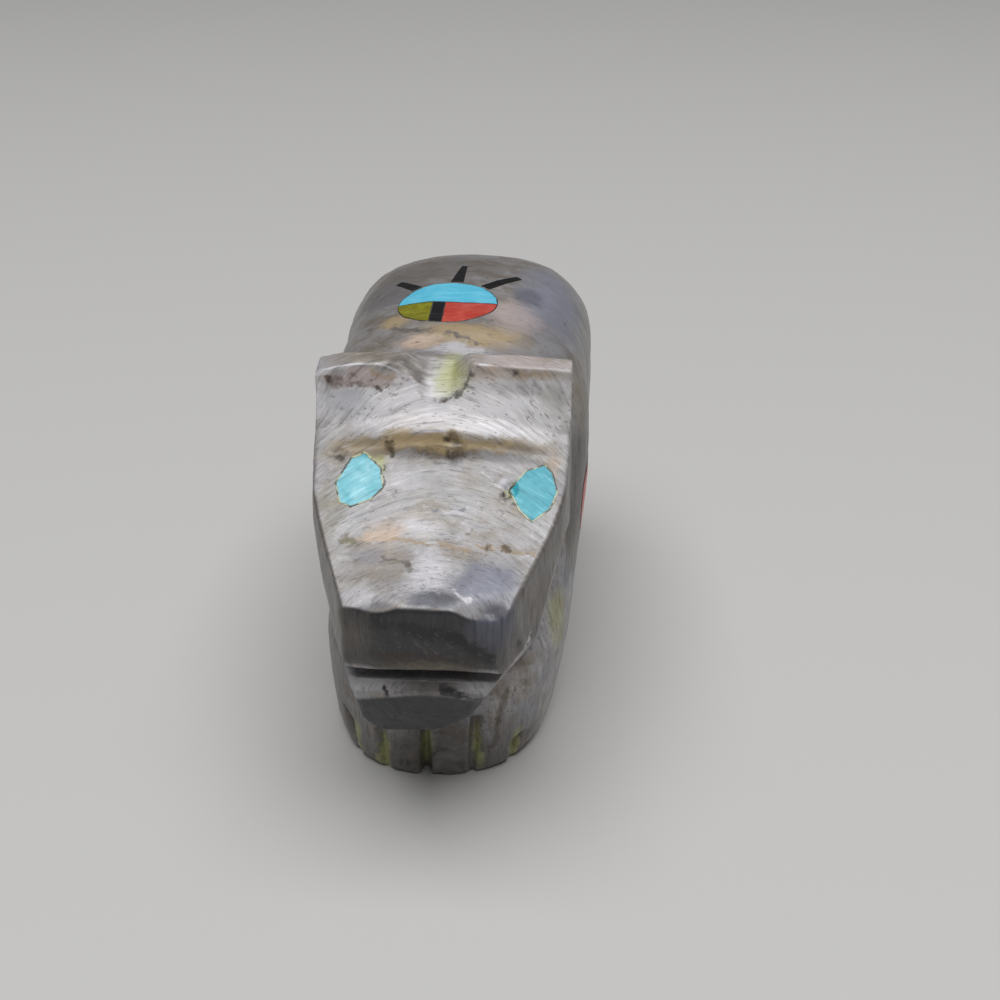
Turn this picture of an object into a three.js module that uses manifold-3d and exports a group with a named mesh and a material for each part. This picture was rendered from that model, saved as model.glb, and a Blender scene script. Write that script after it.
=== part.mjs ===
// A small carved stone bear with inlaid eyes, an inlaid sun on its back and an inlaid disc in one flank.
// Millimetres, +Z up. The bear faces -Y, so its left side is at +X.
// While it is built, Y is measured back from the tip of the nose and X from the middle of the ears.
// The finished group has its origin at the middle of its footprint, on the ground.

import * as THREE from "three";
import { mergeVertices } from "three/addons/utils/BufferGeometryUtils.js";
import Module from "manifold-3d";

const wasm = await Module();
wasm.setup();

// An angle's unit, a distance past any part of the bear, and a hair's breadth.
const DEGREE = Math.PI / 180;
const FAR = 60;
const HAIR = 0.02;

// Trunk: a slab with rounded shoulders and an oval plan, leaning a little to one side over its feet.
const TRUNK = {
  frontY: 8.8,
  rearY: 54.2,
  halfWidth: 11.4,
  toeHalfWidth: 3,
  waistDepth: 0.4,
  waistReach: 6,
  backX: 0.45,
  feetX: -0.8,
  leanTopZ: 22,
  backZ: 35.5,
  napeY: 16,
  napeZ: 34.5,
  napeEndY: 19.5,
  napeEndZ: 35.35,
  rumpZ: 17,
  rumpStartY: 34,
  shoulderDrop: 9,
  shoulderPower: 2.6,
  planPower: 4,
  solePower: 3,
  soleBlendZ: 7,
  rumpPower: 2.5,
  footTaper: 0.09,
  soleEdge: 1.1,
  heelTuck: 2.4,
  heelStartY: 36,
  ringCount: 34,
  ringSteps: 10,
  ringLevels: [1.2, 4, 7, 10.2, 10.5, 14, 18, 22],
};

// Chest: it leans back from the toes, with a sawn ledge under the jaw.
const CHEST = {
  ledgeZ: 10.2,
  ledgeTopZ: 10.5,
  leanAtLedge: 1,
  ledgeDepth: 2,
  neckZ: 22,
  neckLean: 7.5,
  topLean: 8.5,
  endY: 30,
};

// Head: a block that tapers to the muzzle. Its middle line climbs the muzzle at a steady slope and
// then in a curve to the foot of the brow; each mark says how far the head's edges lie below that line.
const HEAD = {
  halfWidth: 10.2,
  flare: 0.25,
  taper: 0.365,
  taperEndY: 11.3,
  taperBlend: 1.5,
  rearY: 20.6,
  rearChamfer: 0.8,
  crownPower: 1.5,
};
const MUZZLE = { noseY: 0.3, noseZ: 22.9, slope: 0.295, curveY: 6.2, curve: 0.0482 };
const HEAD_MARKS = [
  { name: "nose edge", y: 0.3, fall: 0 },
  { name: "muzzle", y: 5.5, fall: 0.1 },
  { name: "muzzle root", y: 9.5, fall: 0.3 },
  { name: "brow foot", y: 12.95, fall: 0.5 },
  { name: "brow ledge", y: 13.22, z: 29.7, fall: 1.25 },
  { name: "brow shelf", y: 13.4, z: 29.8, fall: 1.35 },
  { name: "brow ridge", y: 13.78, z: 30.77, fall: 2.0 },
  { name: "forehead", y: 15.1, z: 31.75, fall: 1.9 },
  { name: "ear foot", y: 16.2, z: 33.4, fall: 1.3 },
  { name: "ear front", y: 16.9, z: 35.1, fall: 0.4 },
  { name: "ear rear", y: 18.6, z: 35.4, fall: 0.4 },
  { name: "nape", y: 19.4, z: 34.3, fall: 0.6 },
  { name: "neck", y: 20.6, z: 34.1, fall: 0.8 },
];
const CHIN = { y: 3.5, z: 9 };
const LIPS = { upperY: 0.8, upperZ: 16.8, lowerY: 1.3, lowerZ: 14.7 };

// The flat laps that shape the head: a point on each, and the way that the lap faces.
const LAPS = [
  { name: "front face", point: [0, MUZZLE.noseY, MUZZLE.noseZ], facing: [0, -1, -0.09] },
  { name: "upper lip", point: [0, 0.72, 18.2], facing: [0, -1, -0.4], downTo: 16 },
  { name: "top of the right ear", point: [-8.2, 16.66, 34.4], facing: [-0.237, -0.31, 0.92] },
  {
    name: "lower jaw",
    point: [0, LIPS.lowerY, LIPS.lowerZ],
    facing: [0, -1, (LIPS.lowerY - CHIN.y) / (LIPS.lowerZ - CHIN.z)],
  },
  { name: "underside", point: [0, CHIN.y, CHIN.z + 0.3], facing: [0.09, 0.13, -1] },
  { name: "left front edge", point: [6, MUZZLE.noseY, MUZZLE.noseZ], facing: [0.75, -0.64, -0.15] },
  { name: "left lip corner", point: [4.7, 1.3, 15.1], facing: [0.79, -0.348, -0.504] },
  { name: "right lip corner", point: [-6.1, 1.3, 15.1], facing: [-0.947, -0.234, -0.218] },
  { name: "left cheek", point: [8.2, 6.4, 17.9], facing: [0.97, -0.12, -0.21] },
  { name: "right cheek", point: [-8.2, 6.4, 17.9], facing: [-0.97, -0.12, -0.21] },
  { name: "left chin corner", point: [1.3, 3.1, 10.15], facing: [0.56, -0.15, -0.82] },
  { name: "right chin corner", point: [-5.1, 3, 10.1], facing: [-0.8, -0.16, -0.6] },
  { name: "throat", point: [0, 19.6, 19.5], facing: [0, 0.8, -0.6] },
  {
    name: "left nape corner",
    point: [HEAD.halfWidth - HEAD.rearChamfer, HEAD.rearY, 28],
    facing: [1, 1, 0],
  },
  {
    name: "right nape corner",
    point: [HEAD.rearChamfer - HEAD.halfWidth, HEAD.rearY, 28],
    facing: [-1, 1, 0],
  },
];

// Notch between the ears, its floor climbing to the nape.
const NOTCH = {
  x: -0.3,
  y: 15.6,
  z: 32.65,
  floorWidth: 2,
  rise: 26,
  leftSlope: 42,
  rightSlope: 34,
  reach: 8,
};

// Nose: two shallow channels in its front edge, one for each nostril.
const NOSTRIL_RISE = 46;
const NOSTRILS = [
  { x: -3.6, radius: 3, depth: 0.55 },
  { x: 4.2, radius: 4, depth: 0.85 },
];

// Mouth: a bevelled lower lip, a saw cut behind it, and the same cut carried up along both cheeks.
const MOUTH = { lipTopY: 2, lipTopZ: 15.5, backY: 4.6, backZ: 15.8, backHeight: 0.3 };
const CHEEK_CUT = { start: [5.4, 1.3, 16.1], end: [7.85, 4.9, 18.9], depth: 0.5, height: 0.4 };

// Legs: an arch under the belly, a parting between left and right, and cuts between the toes.
const ARCH = { y: 29.8, halfLength: 8.8, height: 12.5, power: 2.6 };
const PARTING = { x: -1.4, depth: 1.7, width: 1, height: 9.5 };
const TOE_CUTS = { depth: 0.8, width: 0.9, height: 6, frontX: [-7.7, -4.9, 2.6, 5.9] };
const TOE_FAN = 1.5;
const HIND_TOE_CUTS = { depth: 0.7, width: 1, height: 4.5, places: [41.4, 43.8, 46.2] };

// Tail: a short nub on the rump.
const TAIL = { y: 52.4, z: 22, halfWidth: 2.5, reach: 2.4, halfHeight: 5, tilt: -14 };

// Inlays: flat pieces let into the stone, flush with it, with a thin line of glue round each.
const GLUE = 0.1;
const INLAY_DEPTH = 1.1;
const POCKET_SPARE = 0.15;
const SUN = { x: -0.75, y: 28.8, radius: 4.3, bandX: -0.7, bandWidth: 1.05, splitY: -0.05 };
const SUN_RAYS = [
  { name: "sun_ray_right", turn: -41, length: 3.0, rootWidth: 1.1, tipWidth: 0.7 },
  { name: "sun_ray_middle", turn: 5, length: 4.3, rootWidth: 1.15, tipWidth: 0.55 },
  { name: "sun_ray_left", turn: 41, length: 4.4, rootWidth: 1.1, tipWidth: 0.7 },
];
// The eyes are hand-cut: each has eight corners, across and up its own face.
const EYES = [
  {
    name: "eye_right",
    x: -6.15,
    y: 11.5,
    roll: -3,
    corners: [
      [0.2, 2.3],
      [-0.8, 1.85],
      [-1.9, -0.2],
      [-1.4, -1.9],
      [-0.5, -2.3],
      [1, -1.6],
      [1.85, -0.6],
      [1.5, 1.1],
    ],
  },
  {
    name: "eye_left",
    x: 7.4,
    y: 11,
    roll: 3,
    corners: [
      [0.8, 2.4],
      [-0.6, 1.8],
      [-1.8, 0.25],
      [-0.95, -1.5],
      [0, -2.45],
      [1.3, -1.3],
      [1.85, 0.2],
      [1.4, 1.8],
    ],
  },
];
const FLANK_DISC = { y: 25, z: 19.7, halfLength: 3.9, halfHeight: 3.6 };

// Materials, one short function each.
const stone = () => new THREE.MeshStandardMaterial({ color: 0xb9b4ad, roughness: 0.35, metalness: 0 });
const turquoise = () => new THREE.MeshStandardMaterial({ color: 0x52c4c8, roughness: 0.3, metalness: 0 });
const skyStone = () => new THREE.MeshStandardMaterial({ color: 0x5fcfe8, roughness: 0.3, metalness: 0 });
const serpentine = () => new THREE.MeshStandardMaterial({ color: 0x9a9a1e, roughness: 0.35, metalness: 0 });
const coral = () => new THREE.MeshStandardMaterial({ color: 0xd8432b, roughness: 0.3, metalness: 0 });
const jet = () => new THREE.MeshStandardMaterial({ color: 0x0b0b0d, roughness: 0.2, metalness: 0 });

// Straight-line reading of a list of [position, value] pairs.
function readAlong(pairs, at) {
  if (at <= pairs[0][0]) return pairs[0][1];
  for (let i = 1; i < pairs.length; i++) {
    const [from, a] = pairs[i - 1];
    const [to, b] = pairs[i];
    if (at <= to) return a + ((b - a) * (at - from)) / (to - from);
  }
  return pairs[pairs.length - 1][1];
}

// The height of an oval of the given power over a place between -1 and 1.
const oval = (place, power) => Math.max(0, 1 - Math.abs(place) ** power) ** (1 / power);

// A closed geometry as a solid.
function solidOf(geometry) {
  const bare = geometry.index ? geometry.toNonIndexed() : geometry;
  bare.deleteAttribute("normal");
  bare.deleteAttribute("uv");
  const merged = mergeVertices(bare, 1e-4);
  const vertProperties = merged.getAttribute("position").array;
  const triVerts = new Uint32Array(merged.index.array);
  return new wasm.Manifold(new wasm.Mesh({ numProp: 3, vertProperties, triVerts }));
}

// A solid as a named mesh.
function pieceOf(name, solid, material) {
  // The library gives its mesh back as one array of places and one of corners.
  const made = solid.getMesh();
  const geometry = new THREE.BufferGeometry();
  geometry.setAttribute("position", new THREE.BufferAttribute(new Float32Array(made.vertProperties), 3));
  geometry.setIndex(new THREE.BufferAttribute(new Uint32Array(made.triVerts), 1));
  geometry.computeVertexNormals();
  const mesh = new THREE.Mesh(geometry, material);
  mesh.name = name;
  return mesh;
}

// A closed skin over rings of equal length, each a list of [x, y, z] that turns
// anticlockwise as seen from the last ring looking back to the first.
function loft(rings) {
  const size = rings[0].length;
  const middle = (ring) => [0, 1, 2].map((k) => ring.reduce((sum, point) => sum + point[k], 0) / size);
  const corners = [];
  rings.slice(1).forEach((ring, i) => {
    const before = rings[i];
    for (let a = 0; a < size; a++) {
      const b = (a + 1) % size;
      corners.push(before[a], ring[b], before[b], before[a], ring[a], ring[b]);
    }
  });
  const first = rings[0];
  const last = rings[rings.length - 1];
  for (let a = 0; a < size; a++) {
    const b = (a + 1) % size;
    corners.push(middle(first), first[a], first[b], middle(last), last[b], last[a]);
  }
  const geometry = new THREE.BufferGeometry();
  geometry.setAttribute("position", new THREE.Float32BufferAttribute(corners.flat(), 3));
  return solidOf(geometry);
}

// An outline pushed along an axis: outlines are (y, z) along x, (z, x) along y and (x, y) along z.
function prism(points, axis, from, to) {
  const shape = new THREE.Shape(points.map(([u, v]) => new THREE.Vector2(u, v)));
  const geometry = new THREE.ExtrudeGeometry(shape, { depth: to - from, bevelEnabled: false });
  geometry.translate(0, 0, from);
  const [x, y, z] = [0, 1, 2].map((i) => new THREE.Vector3().setComponent(i, 1));
  const frames = { x: [y, z, x], y: [z, x, y], z: [x, y, z] };
  return geometry.applyMatrix4(new THREE.Matrix4().makeBasis(...frames[axis]));
}

// The stone that a flat lap takes off: all that lies beyond a plane facing the given way.
function beyond(point, facing) {
  const geometry = new THREE.BoxGeometry(2 * FAR, 2 * FAR, 2 * FAR);
  geometry.translate(0, 0, FAR);
  const up = new THREE.Vector3(0, 0, 1);
  const outward = new THREE.Vector3(...facing).normalize();
  geometry.applyQuaternion(new THREE.Quaternion().setFromUnitVectors(up, outward));
  return solidOf(geometry.translate(...point));
}

// A wedge-shaped saw cut, its edge upright at the origin and its mouth open towards -Y.
function sawCut(width, depth, height) {
  const outline = [[0, depth], [-width, -depth], [width, -depth]];
  return prism(outline, "z", -2, height);
}

// Half-width of the trunk in plan: a rounder oval at the soles than above them.
function trunkHalfWidth(y, z) {
  const middle = (TRUNK.frontY + TRUNK.rearY) / 2;
  const halfLength = (TRUNK.rearY - TRUNK.frontY) / 2;
  const waist = TRUNK.waistDepth * Math.exp(-(((y - ARCH.y) / TRUNK.waistReach) ** 2));
  const power = readAlong([[0, TRUNK.solePower], [TRUNK.soleBlendZ, TRUNK.planPower]], z);
  const plan = (TRUNK.halfWidth - waist) * oval((y - middle) / halfLength, power);
  return y < middle ? Math.max(plan, TRUNK.toeHalfWidth) : plan;
}

// Height of the trunk's middle line: up from the nape, level along the back and round the rump.
function crownHeight(y) {
  const { napeY, napeZ, napeEndY, napeEndZ, backZ, rumpZ, rumpStartY, rearY, rumpPower } = TRUNK;
  if (y < rumpStartY) return readAlong([[napeY, napeZ], [napeEndY, napeEndZ], [rumpStartY, backZ]], y);
  return rumpZ + (backZ - rumpZ) * oval((y - rumpStartY) / (rearY - rumpStartY), rumpPower);
}

// Sideways place of the trunk's middle at a height.
const trunkMiddle = (z) => readAlong([[0, TRUNK.feetX], [TRUNK.leanTopZ, TRUNK.backX]], z);

// How far the chest leans back at a height.
function chestLean(z) {
  const { ledgeZ, ledgeTopZ, leanAtLedge, ledgeDepth, neckZ, neckLean, topLean } = CHEST;
  const ledge = [[0, 0], [ledgeZ, leanAtLedge], [ledgeTopZ, leanAtLedge + ledgeDepth]];
  return readAlong([...ledge, [neckZ, neckLean], [TRUNK.backZ, topLean]], z);
}

// One ring round the trunk, from the sole up one side, over the crown and down the other.
function trunkRing(y) {
  const crown = crownHeight(y);
  const shoulder = crown - Math.min(TRUNK.shoulderDrop, crown / 2);
  const width = trunkHalfWidth(y, shoulder);
  const footWidth = (z) => 1 - TRUNK.footTaper * Math.max(0, 1 - z / TRUNK.leanTopZ) ** 1.5;
  const flank = (z) => trunkHalfWidth(y, z) * footWidth(z);
  const edge = Math.min(TRUNK.soleEdge, width / 2);
  const half = [[flank(0) - edge, 0], [flank(0) - 0.3 * edge, 0.3 * edge]];
  const fullShoulder = TRUNK.backZ - TRUNK.shoulderDrop;
  for (const level of TRUNK.ringLevels) {
    const z = (level / fullShoulder) * shoulder;
    half.push([flank(z), z]);
  }
  const power = 2 / TRUNK.shoulderPower;
  for (let i = 0; i < TRUNK.ringSteps; i++) {
    const angle = (i / TRUNK.ringSteps) * 90 * DEGREE;
    half.push([width * Math.cos(angle) ** power, shoulder + (crown - shoulder) * Math.sin(angle) ** power]);
  }
  const ring = [...half, [0, crown], ...half.map(([x, z]) => [-x, z]).reverse()];
  return ring.map(([x, z]) => {
    const ahead = Math.max(0, CHEST.endY - y) / (CHEST.endY - TRUNK.frontY);
    const behind = Math.max(0, y - TRUNK.heelStartY) / (TRUNK.rearY - TRUNK.heelStartY);
    const heel = TRUNK.heelTuck * Math.max(0, 1 - z / TRUNK.rumpZ) ** 1.5;
    return [trunkMiddle(z) + x, y + chestLean(z) * ahead - heel * behind, z];
  });
}

// The trunk's rings stand close together towards both ends, where the plan turns.
function trunk() {
  const rings = [];
  const length = TRUNK.rearY - HAIR - TRUNK.frontY;
  for (let i = 0; i <= TRUNK.ringCount; i++) {
    const spread = (1 - Math.cos((i / TRUNK.ringCount) * Math.PI)) / 2;
    rings.push(trunkRing(TRUNK.frontY + length * spread));
  }
  return loft(rings);
}

function tail() {
  const geometry = new THREE.SphereGeometry(1, 16, 12);
  geometry.scale(TAIL.halfWidth, TAIL.reach, TAIL.halfHeight);
  return solidOf(geometry.rotateX(TAIL.tilt * DEGREE).translate(TRUNK.backX, TAIL.y, TAIL.z));
}

function bellyArch() {
  const outline = [[ARCH.y - ARCH.halfLength, -1]];
  const steps = 16;
  const power = 2 / ARCH.power;
  for (let i = 0; i <= steps; i++) {
    const angle = (i / steps) * 180 * DEGREE;
    const along = -Math.sign(Math.cos(angle)) * Math.abs(Math.cos(angle)) ** power;
    outline.push([ARCH.y + ARCH.halfLength * along, ARCH.height * Math.sin(angle) ** power]);
  }
  outline.push([ARCH.y + ARCH.halfLength, -1]);
  return solidOf(prism(outline.reverse(), "x", -FAR, FAR));
}

// Half-width of the head in plan: a straight taper over the muzzle, then level past the cheeks.
function headHalfWidth(y) {
  const ahead = HEAD.taperEndY - y;
  return HEAD.halfWidth - (HEAD.taper / 2) * (ahead + Math.hypot(ahead, HEAD.taperBlend));
}

// Height of the head's middle line.
function headHeight(y) {
  const { noseY, noseZ, slope, curveY, curve } = MUZZLE;
  const muzzle = noseZ + slope * (y - noseY) + curve * Math.max(0, y - curveY) ** 2;
  const upper = HEAD_MARKS.filter((mark) => mark.z);
  if (y >= upper[0].y) return readAlong(upper.map((mark) => [mark.y, mark.z]), y);
  const foot = HEAD_MARKS.find((mark) => mark.name === "brow foot");
  if (y <= foot.y) return muzzle;
  const footZ = headHeight(foot.y);
  return readAlong([[foot.y, footZ], [upper[0].y, upper[0].z]], y);
}

const headFall = (y) => readAlong(HEAD_MARKS.map((mark) => [mark.y, mark.fall]), y);

// Height of the head's upper face at a place in plan.
const faceHeight = (x, y) =>
  headHeight(y) - headFall(y) * Math.abs(x / headHalfWidth(y)) ** HEAD.crownPower;

function headRing(y) {
  const width = headHalfWidth(y);
  const floor = CHIN.z - 2;
  const across = 16;
  const ring = [[-width - HEAD.flare, y, floor], [width + HEAD.flare, y, floor]];
  for (let i = 0; i <= across; i++) {
    const x = width * (1 - (2 * i) / across);
    ring.push([x, y, faceHeight(x, y)]);
  }
  return ring;
}

function headBlock() {
  const places = HEAD_MARKS.map((mark) => mark.y);
  for (let y = MUZZLE.noseY + 1; y < HEAD.rearY; y += 1) places.push(y);
  places.sort((a, b) => a - b);
  const kept = places.filter((y, i) => i === 0 || y - places[i - 1] > 0.05);
  return loft(kept.map(headRing));
}

function earNotch() {
  const half = NOTCH.floorWidth / 2;
  const toLeft = half + NOTCH.reach / Math.tan(NOTCH.leftSlope * DEGREE);
  const toRight = half + NOTCH.reach / Math.tan(NOTCH.rightSlope * DEGREE);
  const outline = [[0, -half], [NOTCH.reach, -toRight], [NOTCH.reach, toLeft], [0, half]];
  const geometry = prism(outline, "y", -12, 12);
  geometry.rotateX(NOTCH.rise * DEGREE);
  return solidOf(geometry.translate(NOTCH.x, NOTCH.y, NOTCH.z));
}

// A shallow channel in the front edge of the nose.
function nostril({ x, radius, depth }) {
  const geometry = new THREE.CylinderGeometry(radius, radius, 12, 40);
  geometry.translate(0, 0, radius - depth);
  geometry.rotateX(NOSTRIL_RISE * DEGREE);
  return solidOf(geometry.translate(x, MUZZLE.noseY, MUZZLE.noseZ));
}

// The saw cut of the mouth across the front of the jaw.
function mouth() {
  const { lipTopY, lipTopZ, backY, backZ, backHeight } = MOUTH;
  const lipRise = (lipTopZ - LIPS.lowerZ) / (lipTopY - LIPS.lowerY);
  const roofFall = (LIPS.upperZ - backZ - backHeight) / (backY - LIPS.upperY);
  const outline = [
    [-3, LIPS.lowerZ - lipRise * (LIPS.lowerY + 3)],
    [lipTopY, lipTopZ],
    [backY, backZ],
    [backY, backZ + backHeight],
    [-3, LIPS.upperZ + roofFall * (LIPS.upperY + 3)],
  ];
  return solidOf(prism(outline, "x", -FAR, FAR));
}

// The mouth line carried up along a cheek, on the side given by its sign: a groove that
// starts at its full depth and fades out at its end.
function cheekCut(side) {
  const { start, end, depth, height } = CHEEK_CUT;
  const from = new THREE.Vector3((start[0] - depth) * side, start[1], start[2]);
  const run = new THREE.Vector3(end[0] * side, end[1], end[2]).sub(from);
  const along = run.clone().normalize();
  const outward = new THREE.Vector3(side, 0, 0);
  outward.addScaledVector(along, -outward.dot(along)).normalize();
  const outline = [[0, 0], [-4 * height, 4 * depth], [4 * height, 4 * depth]];
  const geometry = prism(outline, "y", -1.5, run.length());
  geometry.applyMatrix4(new THREE.Matrix4().makeBasis(outward, along, outward.clone().cross(along)));
  return solidOf(geometry.translate(...from.toArray()));
}

// A cut in the front of the feet at a sideways place, square to the plan there and fading upwards.
function frontCut(x, { depth, width, height }) {
  const middle = (TRUNK.frontY + TRUNK.rearY) / 2;
  const halfLength = middle - TRUNK.frontY;
  const reach = TRUNK.halfWidth * (1 - TRUNK.footTaper);
  const place = (x - TRUNK.feetX) / reach;
  const front = middle - halfLength * oval(place, TRUNK.solePower);
  const across = Math.sign(place) * Math.abs(place) ** (TRUNK.solePower - 1) / reach;
  const along = ((middle - front) / halfLength) ** (TRUNK.solePower - 1) / halfLength;
  const geometry = sawCut(width, depth, height);
  geometry.rotateX(-Math.atan(depth / height));
  geometry.rotateY(x * TOE_FAN * DEGREE);
  geometry.rotateZ(Math.atan2(across, along));
  return solidOf(geometry.translate(x, Math.max(front, TRUNK.frontY), 0));
}

// A cut in the outer edge of a hind foot, on the side given by its sign.
function hindCut(y, side) {
  const { depth, width, height } = HIND_TOE_CUTS;
  const geometry = sawCut(width, depth, height);
  geometry.rotateX(-Math.atan(depth / height));
  geometry.rotateZ(side * 90 * DEGREE);
  const reach = trunkHalfWidth(y, 0) * (1 - TRUNK.footTaper);
  return solidOf(geometry.translate(TRUNK.feetX + side * reach, y, 0));
}

// The parting between the hind legs, in the heels.
function heelParting() {
  const geometry = sawCut(PARTING.width, PARTING.depth, PARTING.height);
  geometry.rotateX(-Math.atan(PARTING.depth / PARTING.height));
  geometry.rotateZ(Math.PI);
  return solidOf(geometry.translate(TRUNK.feetX, TRUNK.rearY - TRUNK.heelTuck, 0));
}

// What a lap takes off, down to a level where it has one.
function wasteOf({ point, facing, downTo }) {
  const waste = beyond(point, facing);
  return downTo === undefined ? waste : waste.trimByPlane([0, 0, 1], downTo);
}

function carvedBody() {
  let head = headBlock();
  for (const lap of LAPS) head = head.subtract(wasteOf(lap));
  let body = trunk().add(tail()).add(head);
  const cuts = [bellyArch(), earNotch(), mouth(), cheekCut(1), cheekCut(-1), heelParting()];
  cuts.push(...NOSTRILS.map(nostril));
  cuts.push(frontCut(PARTING.x, PARTING), ...TOE_CUTS.frontX.map((x) => frontCut(x, TOE_CUTS)));
  for (const y of HIND_TOE_CUTS.places) cuts.push(hindCut(y, 1), hindCut(y, -1));
  for (const cut of cuts) body = body.subtract(cut);
  return body;
}

// A flat outline, across and up the face it is let into, grown by a margin about its middle.
function grown(points, margin) {
  const radius = points.reduce((sum, [u, v]) => sum + Math.hypot(u, v), 0) / points.length;
  return points.map(([u, v]) => [u * (1 + margin / radius), v * (1 + margin / radius)]);
}

// A solid plug over an outline, from a depth below the face to a height above it.
function plug(points, depth, height, frame) {
  return solidOf(prism(points, "z", -depth, height).applyMatrix4(frame));
}

// Each inlay: its plug, and the pocket that it sits in.
function inlayPair(name, material, points, frame, height) {
  const plugSolid = plug(grown(points, -GLUE / 2), INLAY_DEPTH, height, frame);
  const pocket = plug(grown(points, GLUE / 2), INLAY_DEPTH + POCKET_SPARE, height, frame);
  return { name, material, plugSolid, pocket };
}

// Where an eye lies: tilted with the slope of the face.
function eyeFrame({ x, y, roll }) {
  const slope = Math.atan(headHeight(y + 0.5) - headHeight(y - 0.5));
  const frame = new THREE.Matrix4().makeTranslation(x, y, faceHeight(x, y));
  frame.multiply(new THREE.Matrix4().makeRotationX(slope));
  return frame.multiply(new THREE.Matrix4().makeRotationY(roll * DEGREE));
}

const eyes = () => EYES.map((eye) => inlayPair(eye.name, turquoise(), eye.corners, eyeFrame(eye), 0.35));

function flankDisc() {
  const points = [];
  const corners = 28;
  for (let i = 0; i < corners; i++) {
    const angle = (i / corners) * 2 * Math.PI;
    points.push([FLANK_DISC.halfLength * Math.cos(angle), FLANK_DISC.halfHeight * Math.sin(angle)]);
  }
  const side = trunkMiddle(FLANK_DISC.z) + trunkHalfWidth(FLANK_DISC.y, FLANK_DISC.z);
  const frame = new THREE.Matrix4().makeTranslation(side, FLANK_DISC.y, FLANK_DISC.z);
  const [x, y, z] = [0, 1, 2].map((i) => new THREE.Vector3().setComponent(i, 1));
  frame.multiply(new THREE.Matrix4().makeBasis(y, z, x));
  return inlayPair("flank_coral", coral(), points, frame, 1);
}

// A round plug about the sun's middle.
function sunDisc(radius, depth) {
  const geometry = new THREE.CylinderGeometry(radius, radius, depth + 1, 56);
  geometry.rotateX(90 * DEGREE).translate(SUN.x, SUN.y, TRUNK.backZ - depth + (depth + 1) / 2);
  return solidOf(geometry);
}

// The part of the sun's disc between two pairs of lines, measured from its middle.
function sunPart(name, material, fromX, toX, fromY, toY) {
  const seam = GLUE / 2;
  const corners = [
    [fromX + seam, fromY + seam],
    [toX - seam, fromY + seam],
    [toX - seam, toY - seam],
    [fromX + seam, toY - seam],
  ];
  const frame = new THREE.Matrix4().makeTranslation(SUN.x, SUN.y, TRUNK.backZ);
  const window = plug(corners, 5, 5, frame);
  return { name, material, plugSolid: sunDisc(SUN.radius - seam, INLAY_DEPTH).intersect(window) };
}

function sunParts() {
  const { radius, bandX, bandWidth, splitY } = SUN;
  const edge = 2 * radius;
  const from = bandX - bandWidth / 2;
  const to = bandX + bandWidth / 2;
  const parts = [
    sunPart("sun_turquoise", skyStone(), -edge, edge, splitY, edge),
    sunPart("sun_band", jet(), from, to, -edge, splitY),
    sunPart("sun_yellow", serpentine(), -edge, from, -edge, splitY),
    sunPart("sun_coral", coral(), to, edge, -edge, splitY),
  ];
  parts[0].pocket = sunDisc(radius + GLUE / 2, INLAY_DEPTH + POCKET_SPARE);
  return parts;
}

// A ray: a tapered slip that points away from the sun's middle.
function sunRay({ name, turn, length, rootWidth, tipWidth }) {
  const half = length / 2;
  const points = [
    [-rootWidth / 2, -half],
    [rootWidth / 2, -half],
    [tipWidth / 2, half],
    [-tipWidth / 2, half],
  ];
  const frame = new THREE.Matrix4().makeTranslation(SUN.x, SUN.y, TRUNK.backZ);
  frame.multiply(new THREE.Matrix4().makeRotationZ(-turn * DEGREE));
  frame.multiply(new THREE.Matrix4().makeTranslation(0, SUN.radius + 2 * GLUE + half, 0));
  const slip = (margin, depth) => {
    const inset = points.map(([u, v]) => [u + Math.sign(u) * margin, v + Math.sign(v) * margin]);
    return plug(inset, depth, 1, frame);
  };
  return {
    name,
    material: jet(),
    plugSolid: slip(-GLUE / 2, INLAY_DEPTH),
    pocket: slip(GLUE / 2, INLAY_DEPTH + POCKET_SPARE),
  };
}

// The whole figure: every inlay is ground flush with the stone it is let into.
function figure() {
  const whole = carvedBody();
  const inlays = [...eyes(), ...sunParts(), ...SUN_RAYS.map(sunRay), flankDisc()];
  let body = whole;
  for (const { pocket } of inlays) if (pocket) body = body.subtract(pocket);
  const group = new THREE.Group();
  group.add(pieceOf("bear_body", body, stone()));
  for (const { name, material, plugSolid } of inlays) {
    group.add(pieceOf(name, plugSolid.intersect(whole), material));
  }
  return group;
}

const bear = figure();
const extent = new THREE.Box3().setFromObject(bear);
const middle = extent.getCenter(new THREE.Vector3());
bear.position.set(-middle.x, -middle.y, -extent.min.z);

const fetish = new THREE.Group();
fetish.add(bear);
export default fetish;
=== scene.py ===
"""A small carved stone bear with inlaid eyes, an inlaid sun on its back and a disc in one flank.

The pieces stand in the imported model's own frame, in metres: the bear faces -Y, its left side is
at +X and its feet are on Z = 0. They are shaped at a working scale of one unit to the millimetre
and brought down to metres when they are finished, so every size below is in millimetres.
"""

from __future__ import annotations

import logging
import math
from dataclasses import dataclass, field
from enum import Enum

import bpy
from mathutils import Matrix, Vector, noise
from mathutils.bvhtree import BVHTree

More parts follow.
